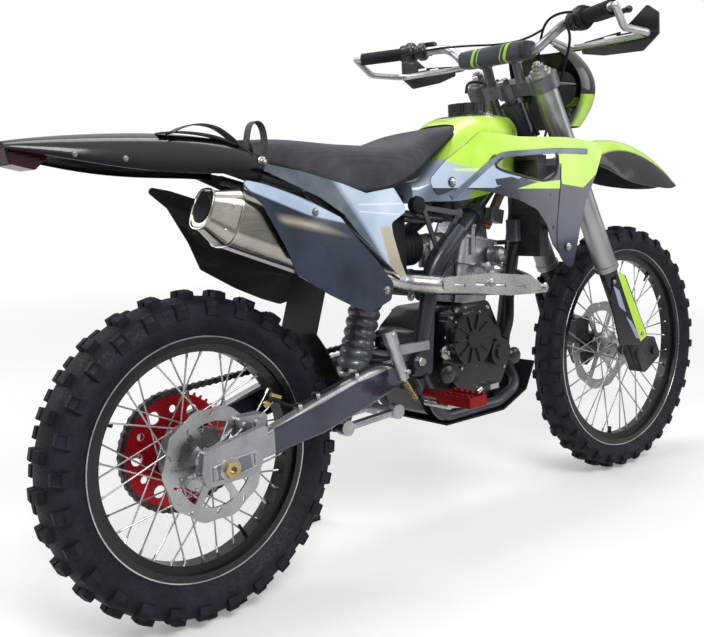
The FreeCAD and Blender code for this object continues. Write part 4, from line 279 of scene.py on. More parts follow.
# painted shade between the fins
finish("radiator_alloy", (66, 68, 72), (116, 118, 122), (0.3, 0.5), 0.85, pattern=fins, size=4.0, bump=0.8,
       height=1.5)
finish("lime", *LIME, (0.16, 0.28), coat=0.5, bump=0.03)
finish("cap_black", (16, 16, 18), (36, 37, 40), (0.25, 0.45), coat=0.3, bump=0.15)
finish("panel_blue", *SLATE, (0.08, 0.16), coat=0.9, bump=0.02)
finish("panel_pale", *PALE, (0.08, 0.16), coat=0.9, bump=0.02)
# painted shade between the raised dots, set by depth
finish("seat_grip", (58, 61, 67), (80, 83, 90), (0.55, 0.75), pattern=dots, size=4.2, bump=0.6, height=0.8,
       sheen=0.08, depth=0.6, shine=0.3)
# painted shade between the threads, set by depth
finish("pad_foam", (34, 42, 54), (56, 66, 82), (0.5, 0.7), pattern=weave, size=1.6, bump=0.4, sheen=0.2,
       depth=0.75)
# painted shade between the lens ridges
finish("lamp_red", (44, 3, 9), (74, 6, 15), (0.1, 0.18), coat=0.3, pattern=fins, size=5.0, bump=0.2)
finish("peg_red", (120, 8, 16), (156, 16, 24), (0.25, 0.4), 0.6, bump=0.2)
finish("fork_grey", (150, 153, 152), (176, 179, 177), (0.3, 0.36), 0.75, bump=0.0)
finish("fork_dark", (52, 52, 54), (84, 84, 87), (0.22, 0.4), 0.8, bump=0.08)
finish("tyre", (10, 12, 18), (25, 30, 42), (0.5, 0.78), patch=0.03, grain=0.25, bump=0.35, height=0.8,
       shine=0.28)
finish("rim_black", (9, 9, 11), (20, 21, 24), (0.25, 0.4), 0.2, 0.2, bump=0.06)
finish("sprocket_red", (150, 10, 24), (196, 24, 38), (0.22, 0.4), 0.6, bump=0.1)
finish("stand_black", (18, 18, 20), (36, 37, 40), (0.35, 0.55), 0.4, bump=0.2)

own_finishes = {
    "shrouds": finish("shroud_stripes", *SLATE, (0.14, 0.24), coat=0.35, bump=0.02, regions=[
        area([(540, 1000), (540, 780), (612, 795), (735, 824), (945, 815), (990, 1000)], PALE),
        area([(569, 899), (690, 985), (772, 902), (708, 865), (640, 880)], LIME),
        area([(717, 905), (700, 1000), (1140, 990), (1130, 868)], LIME),
        area([(947, 824), (947, 1000), (1130, 1000), (1123, 870), (1022, 812)], LIME),
        area([(623, 872), (729, 870), (693, 862), (633, 866)], PALE_LIME),
        area([(735, 872), (752, 877), (903, 833), (889, 824)], LIME),
        area([(739, 844), (790, 848), (852, 829), (743, 829)], SLATE),
        area([(860, 831), (947, 848), (942, 813), (736, 822), (738, 826)], LIME)],
        # black painted shade on the shrouds' inner faces
        shade_side="inward"),
    "fuel_tank": finish("tank_paint", *LIME, (0.14, 0.26), coat=0.6, bump=0.03, regions=[
        area([(700, 992), (930, 992), (930, 1040), (700, 1040)], DEEP),
        area([(540, 780), (700, 800), (740, 893), (560, 899)], PALE)]),
    "side_panels": finish("side_panel_paint", *SLATE, (0.1, 0.18), coat=0.5, bump=0.02, regions=[
        area([(18, 880), (143, 840), (300, 775), (292, 750), (185, 792), (80, 815)], PALE, soft=4.0),
        # painted reflection of the ground, with a very soft edge
        area([(100, 806), (185, 792), (292, 750), (303, 727), (161, 766), (119, 774)], REFLECTED_GROUND, soft=14.0)],
        # black painted shade on the side panels' inner faces
        shade_side="inward"),
    "mid_panels": finish("mid_panel_paint", *PALE, (0.08, 0.16), coat=0.9, bump=0.02, regions=[
        area([(90, 930), (280, 900), (330, 832), (385, 740), (440, 670), (300, 700), (90, 850)],
             [(70, 82, 98), (112, 122, 130)], soft=14.0),
        # painted reflection of the ground
        area([(395, 760), (430, 760), (470, 650), (430, 640)], REFLECTED_GROUND, soft=5.0),
        area([(342, 809), (516, 803), (516, 800), (342, 805)], [(226, 234, 242)] * 2),
        area([(345, 795), (456, 782), (456, 779), (345, 791)], [(226, 234, 242)] * 2)],
        # black painted shade on the mid panels' inner faces
        shade_side="inward"),
    # black painted shade on the faces of the fender that don't look up
    "front_fender": finish("fender_lime", *LIME, (0.16, 0.28), coat=0.5, bump=0.03, shade_side="level"),
    "triple_clamps": finish("clamp_grey", (86, 89, 94), (118, 121, 126), (0.34, 0.5), 0.8, bump=0.06),
    "fork_guards": finish("guard_paint", *BLACK, (0.16, 0.28), coat=0.5, bump=0.03, regions=[
        area([(1229, 590), (1262, 578), (1366, 396), (1333, 384)], LIME),
        area([(1214, 551), (1241, 535), (1271, 471), (1239, 491)], LAVENDER),
        area([(1266, 465), (1293, 446), (1338, 389), (1313, 397)], LAVENDER)]),
    # black painted shade on the rearward faces inside the mask, lime paint above 1046 mm
    "headlight_mask": finish("mask_paint", *BLACK, (0.14, 0.26), coat=0.6, bump=0.03, regions=[
        {"limits": [((0, 0, -1), -1046)], "colours": LIME}], shade_side="rearward"),
    "silencer": finish("silencer_steel", (150, 145, 137), (190, 186, 178), (0.18, 0.26), 1.0, bump=0.01,
                       stretch=(0.05, 1, 1), patch=0.006),
    "heat_shield": finish("shield_steel", (186, 186, 184), (212, 212, 208), (0.24, 0.32), 0.9, bump=0.0),
    **{node: finish(node + "_steel", (156, 157, 159), (184, 185, 186), (0.26, 0.36), 1.0, bump=0.04)
       for node in ("rear_disc", "front_disc")},
    "handguards": finish("guard_bow_paint", *SILVER, (0.25, 0.4), 0.9, bump=0.05, regions=[
        {"limits": [((1, 0, 0), 991)], "colours": BLACK, "metallic": 0.0, "soft": 2.0}]),
}

slots = {part["node"]: part["material_slot"] for part in record["subparts"]}


def paint_nodes():
    """Gives every CAD node its finish."""
    for name, node in frame["nodes"].items():
        material = own_finishes.get(name, finishes[slots[name]])
        node.data.materials.clear()
        node.data.materials.append(material)


# ---- shapes

def new_object(name, data):
    """Object in the scene."""
    made = bpy.data.objects.new(name, data)
    scene.collection.objects.link(made)
    return made


class Pile:
    """Points and faces of many small shapes that make one piece."""

    def __init__(self, *shapes):
        self.points = []
        self.faces = []
        self.add(*shapes)

    def add(self, *shapes):
        """Adds shapes, each a list of points with a list of faces."""
        for points, faces in shapes:
            start = len(self.points)
            self.points += [Vector(point) for point in points]
            self.faces += [[start + index for index in face] for face in faces]

    def piece(self, name, slot, material=None, body="frame", bevel=0.0, levels=0, sharp=35):
        """Makes the piece, parked with the machine."""
        mesh = bpy.data.meshes.new(name)
        mesh.from_pydata([PARKED @ point for point in self.points], [], self.faces)
        mesh.update()
        check = bmesh.new()
        check.from_mesh(mesh)
        bmesh.ops.recalc_face_normals(check, faces=check.faces)
        check.to_mesh(mesh)
        check.free()
        mesh.shade_smooth()
        mesh.set_sharp_from_angle(angle=math.radians(sharp))
        made = new_object(name, mesh)
        if bevel:
            made.modifiers.new("edges", "BEVEL").width = bevel * 0.001
            made.modifiers["edges"].segments = 2
        if levels:
            made.modifiers.new("smooth", "SUBSURF").levels = levels
            made.modifiers["smooth"].render_levels = levels
        return dressed(made, body, slot, material)


def dressed(made, body, slot, material=None):
    """Finish and body of a new piece."""
    made.data.materials.append(material or finishes[slot])
    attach(made, body)
    return made


def skin(rings, count, closed=False):
    """Faces over rings of points, with a cap on each end or joined into a loop."""
    faces = []
    for ring in range(rings if closed else rings - 1):
        low, high = ring * count, (ring + 1) % rings * count
        for index in range(count):
            after = (index + 1) % count
            faces.append([low + index, low + after, high + after, high + index])
    if not closed:
        faces.append(list(reversed(range(count))))
        faces.append([(rings - 1) * count + index for index in range(count)])
    return faces


def turned(profile, start, direction, steps=20, closed=False):
    """Shape turned about a line: each pair is a distance along it and a radius."""
    start = Vector(start)
    direction = Vector(direction).normalized()
    across = direction.orthogonal().normalized()
    other = direction.cross(across)
    points = []
    for along, radius in profile:
        for index in range(steps):
            turn = math.tau * index / steps
            points.append(start + direction * along
                          + (across * math.cos(turn) + other * math.sin(turn)) * radius)
    return points, skin(len(profile), steps, closed)


def smooth_line(points, steps=6):
    """Smooth line through the points."""
    points = [Vector(point) for point in points]
    ends = [points[0] * 2 - points[1]] + points + [points[-1] * 2 - points[-2]]
    line = []
    for a, b, c, d in zip(ends, ends[1:], ends[2:], ends[3:]):
        for index in range(steps):
            t = index / steps
            line.append(0.5 * (2 * b + (c - a) * t + (2 * a - 5 * b + 4 * c - d) * t * t
                               + (3 * b - a - 3 * c + d) * t * t * t))
    return line + [points[-1]]


def swept(line, section, side):
    """Section of (across, up) pairs carried along a line."""
    line = [Vector(place) for place in line]
    points = []
    for index, place in enumerate(line):
        before = line[max(index - 1, 0)]
        after = line[min(index + 1, len(line) - 1)]
        along = (after - before).normalized()
        across = (side - along * side.dot(along)).normalized()
        rise = along.cross(across)
        points += [place + across * a + rise * b for a, b in section]
    return points, skin(len(line), len(section))


def round_section(radius, count=8):
    """Corners of a round section."""
    turns = [math.tau * index / count for index in range(count)]
    return [(radius * math.cos(turn), radius * math.sin(turn)) for turn in turns]


def flat_section(width, thickness):
    """Corners of a flat section."""
    w, t = width / 2, thickness / 2
    return [(-w, -t), (w, -t), (w, t), (-w, t)]


def socket_bolt(place, direction, r):
    """Round-headed screw with a socket, on a washer."""
    return turned([(0, 1.5 * r), (0.25 * r, 1.5 * r), (0.3 * r, 1.05 * r), (0.85 * r, r), (1.1 * r, 0.82 * r),
                   (1.12 * r, 0.5 * r), (0.6 * r, 0.46 * r)], place, direction, 14)


def hexagon_bolt(place, direction, r):
    """Six-sided head."""
    return turned([(0, r), (0.75 * r, r), (0.9 * r, 0.86 * r), (0.9 * r, 0.5 * r)], place, direction, 6)


def washer(place, direction, radius, thickness=1.5):
    """Flat ring under a head."""
    return turned([(0, radius), (thickness * 0.7, radius), (thickness, radius * 0.93)], place, direction)


def hose(name, points, radius, body="frame", slot="rubber_black", material=None):
    """Fixed line on a smooth curve."""
    curve = bpy.data.curves.new(name, "CURVE")
    curve.dimensions = "3D"
    curve.bevel_depth = radius * 0.001
    curve.bevel_resolution = 3
    curve.use_fill_caps = True
    spline = curve.splines.new("NURBS")
    spline.points.add(len(points) - 1)
    for place, point in zip(spline.points, points):
        place.co = (*(PARKED @ Vector(point)), 1)
    spline.order_u = 3
    spline.use_endpoint_u = True
    spline.resolution_u = 10
    return dressed(new_object(name, curve), body, slot, material)


# ---- wheels

def knob(section, length, narrowing, recess):
    """Tread block from its (distance from the axle, place across) outline, with its outer face recessed."""
    low = min(distance for distance, side in section)
    high = max(distance for distance, side in section)
    work = bmesh.new()
    corners = []
    for end in (-1, 1):
        for distance, side in section:
            share = (distance - low) / (high - low)
            corners.append(work.verts.new((distance, side, end * length / 2 * (1 - narrowing * share))))
    for face in skin(2, len(section)):
        work.faces.new([corners[index] for index in face])
    bmesh.ops.recalc_face_normals(work, faces=work.faces)
    if recess:
        outward = Vector((0.35, recess, 0)).normalized()
        face = max(work.faces, key=lambda f: f.normal.dot(outward) * f.calc_area())
        bmesh.ops.inset_region(work, faces=[face], thickness=4.0, depth=-4.0)
    bmesh.ops.bevel(work, geom=work.edges, offset=0.9, segments=1, profile=0.5, affect="EDGES")
    work.verts.index_update()
    points = [vert.co.copy() for vert in work.verts]
    faces = [[vert.index for vert in face.verts] for face in work.faces]
    work.free()
    return points, faces


def tread(pile, centre, shape, rows, first_turn):
    """One kind of block all round the tyre."""
    points, faces = shape
    for index in range(rows):
        turn = Matrix.Rotation(math.radians(first_turn + 360 * index / rows), 3, "Y")
        pile.add(([centre + turn @ point for point in points], faces))


def tyre(name, body, centre, radius, width, crown, lug, lip, bead, rim_width):
    """Round carcass with split middle blocks and recessed shoulder blocks on the frame's layout."""
    height, length, rows = lug
    half = width / 2
    base = radius - height - lip
    side_points = [(bead, rim_width / 2 - 3.5), (lip - 2, rim_width / 2 - 3), (lip + 4, rim_width / 2 + 1),
                   (lip + base * 0.42, half * 0.90), (lip + base * 0.70, half * 0.80),
                   (lip + base * 0.86, half * 0.71), (lip + base * 0.96, half * 0.46),
                   (lip + base, half * 0.24), (lip + base * 1.01, 0)]
    line = smooth_line([(d, s, 0) for d, s in side_points], 4)
    profile = [(point.y, point.x) for point in line]
    profile += [(-s, d) for s, d in reversed(profile[:-1])]
    pile = Pile()
    pile.add(turned(profile, centre, AXIS_Y, 132, closed=True))
    drop = [crown - math.sqrt(crown * crown - side * side) for side in (half * 0.40, half * 0.05)]
    edge = half * 0.40
    root = radius - height - drop[0] - height / 2
    groove = 3.5 if width > 100 else 2.5
    block = [(root, groove), (root, edge), (radius - drop[0], edge), (radius - drop[1], groove)]
    for side in (1, -1):
        tread(pile, centre, knob([(d, side * s) for d, s in block], length, 0.16, 0), rows, 90)
    shoulder = radius - (crown - math.sqrt(crown * crown - (half * 0.84) ** 2))
    shares = [(0.60, -0.2), (0.62, 1.0), (0.84, 1.0), (1.0, -0.15), (0.94, -1.25), (0.74, -1.1)]
    outer = [(shoulder - height * (1 - rise), half * wide) for wide, rise in shares]
    for side in (1, -1):
        shape = knob([(d, side * s) for d, s in outer], length, 0.14, side)
        tread(pile, centre, shape, rows, 90 + 180 / rows)
    return pile.piece(name + "_tread", "tyre", body=body, sharp=30)


def wheel_trim(name, body, centre, lip, bead, rim_width, hub_flange, spread, turns):
    """Bright lips, spoke nipples and heads, valve and rim lock."""
    lips = Pile()
    for side in (1, -1):
        face = side * rim_width / 2
        profile = [(face, lip + 0.6), (face + side * 0.5, lip + 0.2), (face + side * 0.5, lip - 2.4),
                   (face - side * 0.4, lip - 3)]
        lips.add(turned(profile, centre, AXIS_Y, 128, closed=True))
    lips.piece(name + "_rim_lips", "steel", body=body)
    ends = Pile()
    under = bead - 19 + 1.8
    for index in range(SPOKES):
        side = 1 if index % 2 == 0 else -1
        lead = 1 if index // 2 % 2 == 0 else -1
        turn = math.tau * index / SPOKES
        hub_turn = turn + lead * math.radians(62)
        hub_side = side * (spread / 2 - 2.5) + lead * 2.25
        reach = hub_flange - 3.6
        low = centre + Vector((reach * math.cos(hub_turn), hub_side, reach * math.sin(hub_turn)))
        high = centre + Vector((under * math.cos(turn), side * 3.6, under * math.sin(turn)))
        inward = (low - high).normalized()
        ends.add(turned([(-3, 3.4), (2, 3.4), (3, 2.9), (13, 2.7), (14, 2.2)], high, inward, 8),
                 turned([(-3.2, 2.4), (-2.4, 3.2), (2.4, 3.2), (3.2, 2.4)], low, AXIS_Y, 8))
    ends.piece(name + "_spoke_ends", "steel", body=body)
    stems = Pile()
    for turn, radius, length in turns:
        direction = Vector((math.cos(turn), 0, math.sin(turn)))
        start = centre + direction * (bead - 18)
        stems.add(turned([(0, radius * 1.5), (5, radius * 1.5), (6, radius), (length, radius),
                          (length + 1, radius * 0.8)], start, -direction, 12))
    stems.piece(name + "_valve", "rubber_black", body=body)


def ring_of_bolts(centre, side, reach, count, radius, direction, shape=socket_bolt, first=0.0):
    """Screws on a circle about an axle."""
    turns = [math.tau * (index + first) / count for index in range(count)]
    return [shape(centre + Vector((reach * math.cos(turn), side, reach * math.sin(turn))), direction, radius)
            for turn in turns]


def wheels():
    """Tyres and the small metal of both wheels."""
    rear = tyre("rear", "rear_wheel", REAR_AXLE, 332, 122, 84, (14, 27, 28), 243, 230, 68)
    front = tyre("front", "front_wheel", FRONT_AXLE, 348, 92, 60, (12, 23, 32), 281, 268, 52)
    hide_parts("rear_tyre")
    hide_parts("front_tyre")
    lock = math.atan2(434 - REAR_AXLE.z, -177)
    wheel_trim("rear", "rear_wheel", REAR_AXLE, 243, 230, 68, 62, 74, [(lock, 4.5, 18), (lock + 2.6, 3.0, 24)])
    wheel_trim("front", "front_wheel", FRONT_AXLE, 281, 268, 52, 45, 70, [(-1.75, 4.5, 18), (0.9, 3.0, 24)])
    Pile(*ring_of_bolts(REAR_AXLE, -78, 35, 6, 4.5, -AXIS_Y),
         *ring_of_bolts(REAR_AXLE, 76.5, 46, 6, 5, AXIS_Y, hexagon_bolt)
         ).piece("rear_hub_bolts", "steel", body="rear_wheel")
    Pile(*ring_of_bolts(FRONT_AXLE, 60, 30, 6, 4, AXIS_Y)).piece("front_hub_bolts", "steel", body="front_wheel")


# ---- soft pieces

SEAT_REAR, SEAT_LENGTH, SEAT_HALF_WIDTH = 122, 600, 124
SEAT_LOW, SEAT_HEIGHT = 832, 142
SEAM_HEIGHT, SEAM_WIDTH = 0.30, 0.05  # shares of the seat's height
# Share along the seat, then its half width, its lower edge and its top as shares
SEAT_STATIONS = [(0.0, 0.77, 0.50, 0.80), (0.15, 0.90, 0.33, 0.80), (0.40, 1.0, 0.0, 0.72),
                 (0.62, 0.95, 0.13, 0.71), (0.80, 0.77, 0.51, 0.89), (1.0, 0.48, 0.915, 1.0)]
SEAT_SECTION = [(1.0, 0.0, 0), (1.0, 0.35, 0), (0.92, 0.75, 0), (0.70, 0.94, 0), (0.35, 0.99, 0), (0.0, 1.0, 0)]


def seat_ring(share, half, low, high):
    """Points over the seat at one place along it, from the right lower edge to the left one."""
    x = SEAT_REAR + SEAT_LENGTH * share
    side = [(p.x, p.y) for p in smooth_line(SEAT_SECTION, 4)]
    ring = []
    for w, h in side + [(-w, h) for w, h in reversed(side[:-1])]:
        seam = math.exp(-((h - SEAM_HEIGHT) / SEAM_WIDTH) ** 2) * (1 if abs(w) > 0.8 else 0)
        pull = 1 - 0.012 * seam - 0.012 * (1 - h)
        z = SEAT_LOW + SEAT_HEIGHT * (low + (high - low) * h) - 0.6
        ring.append(Vector((x, -w * SEAT_HALF_WIDTH * half * pull, z)))
    return ring


def seat():
    """Crowned foam saddle in a gripping cover, with piping along its lower edge and a sewn seam."""
    stations = smooth_line([s[:3] for s in SEAT_STATIONS], 8)
    tops = smooth_line([(s[0], s[3], 0) for s in SEAT_STATIONS], 8)
    rings = [seat_ring(a.x, a.y, a.z, b.y) for a, b in zip(stations, tops)]
    rings[0] = [p + AXIS_X * 2 for p in rings[0]]
    count = len(rings[0])
    pile = Pile(([p for ring in rings for p in ring], skin(len(rings), count)))
    cover = pile.piece("seat_cover", "seat_grip", sharp=50)
    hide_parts("seat")
    piping = Pile()
    for index, push in ((0, -1), (count - 1, 1)):
        line = [ring[index] + Vector((0, push * 0.5, 2)) for ring in rings]
        piping.add(swept(line, round_section(3.2), AXIS_Y))
    piping.piece("seat_piping", "rubber_black")


def bar_pad():
    """Foam pad round the bar, with soft ends and coloured bands."""
    centre = Vector((928, 0, 1146))
    stations = [(-107, 0.80), (-104, 0.93), (-96, 0.99), (-40, 1.0), (0, 0.985), (40, 1.0), (96, 0.99),
                (104, 0.93), (107, 0.80)]
    count = 32
    points = []
    for side, size in stations:
        for c, s in round_section(1, count):
            x = 30 * size * math.copysign(abs(c) ** PAD_SQUARENESS, c)
            z = 23 * size * math.copysign(abs(s) ** PAD_SQUARENESS, s)
            points.append(centre + Vector((x, side, z)))
    pile = Pile((points, skin(len(stations), count)))
    bands = []
    for start, end in ((-58, -48), (-40, -36), (36, 40), (48, 58)):
        bands.append({"limits": [((0, 1, 0.35), start + 401), ((0, -1, -0.35), -end - 401)], "colours": LIME})
    for start, end in ((-107, -92), (92, 108)):
        bands.append({"limits": [((0, 1, 0), start), ((0, -1, 0), -end)], "colours": BLACK})
    # painted shade between the threads, set by depth
    cloth = finish("pad_cloth", (34, 42, 54), (56, 66, 82), (0.45, 0.65), pattern=weave, size=1.6, bump=0.35,
                   sheen=0.2, depth=0.75, regions=bands)
    pad = pile.piece("bar_pad_cover", "pad_foam", cloth, "fork", levels=1, sharp=80)
    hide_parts("bar_pad")


def straps():
    """Webbing loops behind the seat."""
    low = smooth_line([(-42, -72, 955), (-15, -70, 966), (20, -70, 972), (55, -72, 966), (82, -76, 948),
                       (98, -82, 930)], 6)
    flat = smooth_line([(-60, -66, 957), (-10, -66, 958), (50, -68, 950), (100, -74, 930), (124, -90, 908)], 5)
    tall = smooth_line([(112, -84, 916), (116, -86, 945), (124, -86, 968), (138, -86, 976), (150, -88, 966),
                        (152, -92, 940), (144, -98, 912), (136, -100, 896)], 6)
    loops = Pile(swept(low, flat_section(24, 2.2), AXIS_Y), swept(flat, flat_section(26, 2.4), AXIS_Y),
                 swept(tall, flat_section(20, 2.0), AXIS_Y))
    # painted shade between the threads
    web = finish("webbing", (14, 15, 19), (30, 32, 38), (0.6, 0.8), pattern=weave, size=1.2, bump=0.5,
                 sheen=0.3)
    loops.piece("webbing_loops", "black_plastic", web)


# ---- fasteners, hoses and trim

def panel_screw(bright, dark, place, direction, radius):
    """Bright screw in a black cup."""
    dark.add(turned([(-1, radius * 1.9), (1.2, radius * 1.9), (2.0, radius * 1.6), (1.0, radius * 1.4)], place,
                    direction))
    bright.add(socket_bolt(place + direction.normalized(), direction, radius))


SHROUD_REAR, SHROUD_LENGTH, SHROUD_LOW, SHROUD_HEIGHT = 560, 552, 612, 340


def shroud_spread(x, z):
    """Distance of the shroud from the middle."""
    share = (x - SHROUD_REAR) / SHROUD_LENGTH
    rise = (z - SHROUD_LOW) / SHROUD_HEIGHT
    return 134 + 58 * math.sin(share * math.pi / 2) - 26 * rise * rise


def shroud_line(points, side, lift=0.5):
    """Smooth line over the outer face of a shroud."""
    return smooth_line([(x, side * (shroud_spread(x, z) + lift), z) for x, z in points], 5)


def shroud_trim():
    """Strut that crosses each shroud above its vent, the vent's dark frame and the seam behind it."""
    strut = [(612, 808), (680, 849), (740, 885), (776, 898), (850, 901), (950, 903), (1050, 899)]
    vent = [(768, 892), (748, 880), (752, 868), (800, 853), (885, 835), (925, 846), (940, 872), (943, 894)]
    seam = [(951, 872), (942, 824), (933, 787), (918, 720), (918, 669), (934, 640)]
    struts, edges = Pile(), Pile()
    for side in (-1, 1):
        struts.add(swept(shroud_line(strut, side), flat_section(13, 5), AXIS_Z))
        edges.add(swept(shroud_line(vent, side), round_section(3.2, 6), AXIS_Y),
                  swept(shroud_line(seam, side, 0), round_section(1.6, 5), AXIS_Y))
    paint = finish("strut_paint", *STRUT, (0.2, 0.34), 0.3, 0.4, bump=0.04)
    struts.piece("shroud_struts", "dark_frame", paint, bevel=0.8)
    edges.piece("shroud_edges", "cap_black")


def spar_shells():
    """Smooth joint where each round spar flows into its flattened lower half."""
    stations = [(668, 736, 35, 35), (650, 721, 38, 38), (620, 697, 40, 40), (592, 668, 43, 40),
                (573, 634, 43, 34), (562, 592, 42, 28), (551, 550, 41, 24), (540, 512, 40, 22),
                (530, 478, 38, 20)]
    pile = Pile()
    line = smooth_line([(x, 0, z) for x, z, wide, thick in stations], 4)
    sizes = smooth_line([(wide / 2, thick / 2, 0) for x, z, wide, thick in stations], 4)
    section = [(math.copysign(abs(a) ** 0.7, a), math.copysign(abs(b) ** 0.7, b))
               for a, b in round_section(1, 20)]
    for side in (-1, 1):
        points, faces = swept(line, section, AXIS_Y)
        count = len(section)
        for index, place in enumerate(line):
            for corner in range(index * count, index * count + count):
                offset = points[corner] - place
                flat = Vector((offset.x, 0, offset.z)) * sizes[index].x
                points[corner] = place + flat + AXIS_Y * (offset.y * sizes[index].y + side * 101)
        pile.add((points, faces))
    pile.piece("spar_shells", "dark_frame", sharp=60)


def body_screws():
    """Screws on the bodywork, both sides."""
    bright, dark = Pile(), Pile()
    for side in (-1, 1):
        out = AXIS_Y * side
        for x, z in ((951, 674), (619, 842)):
            panel_screw(bright, dark, Vector((x, side * (shroud_spread(x, z) + 0.5), z)), out, 6)
        for x, z in ((398, 627), (201, 799)):
            reach = 178 - 38 * ((x - 20) / 405) ** 3
            bright.add(socket_bolt((x, side * (reach + 0.3), z), out, 5.5))
        bright.add(turned([(0, 10), (2, 10), (3, 8), (3, 5), (5, 5), (5.5, 4)], (134, side * 106, 900), out))
        for x, reach, z, radius in ((-140, 89.8, 912, 3.6), (-226, 77.6, 922, 3.6), (1218, 126.5, 560, 4),
                                    (1340, 126.5, 405, 4)):
            bright.add(socket_bolt((x, side * reach, z), out, radius))
    bright.add(socket_bolt((824, -60, 992), (0, -0.6, 0.8), 9))
    bright.piece("panel_screws", "steel")
    dark.piece("panel_cups", "cap_black")


def engine_screws():
    """Screws of the engine cases, its filler caps and plugs."""
    pile = Pile(*ring_of_bolts(Vector((672, -ENGINE_SIDE, 485)), -1, 71, 9, 4, -AXIS_Y, hexagon_bolt, 0.3))
    for side, spots in ((-1, ((612, 370), (640, 552), (745, 548), (795, 400), (705, 362), (600, 470))),
                        (1, ((612, 380), (640, 540), (760, 540), (800, 470), (700, 372)))):
        for x, z in spots:
            pile.add(hexagon_bolt((x, side * (ENGINE_SIDE + 0.5), z), AXIS_Y * side, 4.5))
    cap = [(0, 16), (6, 16), (8, 13), (8, 5), (14, 4.5), (15, 3)]
    pile.add(turned(cap, (600, -ENGINE_SIDE, 462), -AXIS_Y))
    pile.piece("engine_screws", "steel")
    Pile(turned([(0, 24), (4, 24), (10, 20), (13, 12), (14, 4)], (600, -ENGINE_SIDE, 412), -AXIS_Y, 28),
         turned([(0, 21), (4, 21), (9, 17), (11, 10)], (832, -ENGINE_SIDE, 420), -AXIS_Y, 28)
         ).piece("engine_caps", "engine_black")


def chassis_trim():
    """Pivot bolts, screws of the shield and the end cap, corner bracket and shock absorber's knob."""
    bolts = Pile()
    for side in (-1, 1):
        out = AXIS_Y * side
        bolts.add(washer((515, side * 113, 455), out, 15), hexagon_bolt((515, side * 114, 455), out, 11),
                  socket_bolt((506, side * 103, 600), out, 7), hexagon_bolt((590, side * 98, 400), out, 6))
    for x, z in ((698, 611), (887, 582)):
        bolts.add(washer((x, -164.5, z), -AXIS_Y, 12), socket_bolt((x, -166, z), -AXIS_Y, 6))
    for x, z in ((29, 822), (6, 778)):
        bolts.add(turned([(0, 3.2), (1.2, 3.0), (2, 1.6)], (x, -163.5, z), -AXIS_Y, 10))
    bolts.piece("chassis_bolts", "steel")
    plate = Pile()
    corners = [(560, -98, 790), (672, -98, 772), (600, -98, 690)]
    for a, b in zip(corners, corners[1:] + corners[:1]):
        plate.add(swept([a, b], flat_section(12, 5), -AXIS_X))
    for corner in corners:
        plate.add(turned([(-3, 11), (3, 11)], corner, AXIS_Y))
    plate.piece("corner_bracket", "dark_frame", bevel=0.8)
    Pile(turned([(0, 10), (6, 17), (18, 20), (26, 18), (30, 10)], (531, -92, 797), -AXIS_Y, 28)
         ).piece("shock_knob", "rubber_black")


def silencer_trim():
    """Rim and dark mouth of the silencer's outlet, and the band of its end cap."""
    tail = Vector((-12, -118, 818))
    front = Vector((290, -118, 702))
    along = (front - tail).normalized()
    up = along.cross(AXIS_Y) * -1

    def hoop(share, size, wide, thick):
        centre = tail + (front - tail) * share
        a, b = 46 * size, 54 * size
        corners = [(a, -b * 0.55), (a, b * 0.55), (a * 0.55, b), (-a * 0.55, b), (-a, b * 0.55),
                   (-a, -b * 0.55), (-a * 0.55, -b), (a * 0.55, -b)]
        line = [centre + AXIS_Y * p + up * q for p, q in corners]
        return Pile(swept(smooth_line(line + line[:1], 3), flat_section(wide, thick), along))

    brushed = own_finishes["silencer"]
    hoop(0.002, 0.66, 5, 4).piece("outlet_rim", "steel", brushed, bevel=0.8)
    hoop(0.17, 1.0, 2.4, 1.6).piece("cap_seam", "steel", brushed)
    shadow = Pile(turned([(-2, 27), (1.5, 27), (2, 24)], tail, -along, 28))
    shadow.piece("outlet_shadow", "black_plastic")


def swingarm_trim():
    """Axle washers, painted shade in the axle slots, chain adjusters, and the brake hose with its clips and
    fittings.
    """
    bright, shadow = Pile(), Pile()
    for side in (-1, 1):
        out = AXIS_Y * side
        rear, front = Vector((-26, side * ARM_SIDE, 330)), Vector((48, side * ARM_SIDE, 339))
        # A flat grey strip in each axle slot is painted shade
        shadow.add(swept([rear, front], flat_section(26, 1.2), AXIS_Z))
        rim = [end + Vector((x, 0, z)) for end, x, z in (
            (rear, -9, 7), (rear, -9, -7), (rear, -2, -15), (front, 2, -15), (front, 9, -7), (front, 9, 7),
            (front, 2, 15), (rear, -2, 15))]
        bright.add(swept(smooth_line(rim + rim[:1], 3), round_section(2.6), AXIS_Y))
        bright.add(washer((0, side * ARM_SIDE, REAR_AXLE.z), out, 23, 2.4),
                   turned([(0, 4), (22, 4), (23, 3)], (-58, side * 109, 330), -AXIS_X, 12),
                   hexagon_bolt((-62, side * 109, 330), -AXIS_X, 7.5))
    for x, z in ((180, 411), (226, 425), (330, 449)):
        clip = [(x - 2, -120, z - 1), (x - 1, -118, z + 9), (x, -109, z + 12), (x + 1, -100, z + 9),
                (x + 2, -98, z - 1)]
        bright.add(swept(smooth_line(clip, 3), flat_section(9, 2), AXIS_X))
    bright.piece("arm_fittings", "bare_alloy", bevel=0.6)
    shadow.piece("axle_slot_shade", "spring_paint")
    hose("rear_brake_hose", [(118, -92, 430), (126, -94, 446), (150, -104, 424), (180, -109, 417),
                             (226, -109, 431), (330, -109, 456), (385, -112, 470), (428, -120, 462),
                             (446, -128, 442), (452, -128, 428)], 3.4)
    Pile(turned([(0, 7), (5, 7), (6, 5), (9, 5)], (118, -88, 430), -AXIS_Y, 16),
         turned([(0, 5.5), (22, 5.5), (23, 4)], (128, -92, 447), (0.9, -0.2, -0.4), 14)
         ).piece("hose_fittings", "gold_axle")


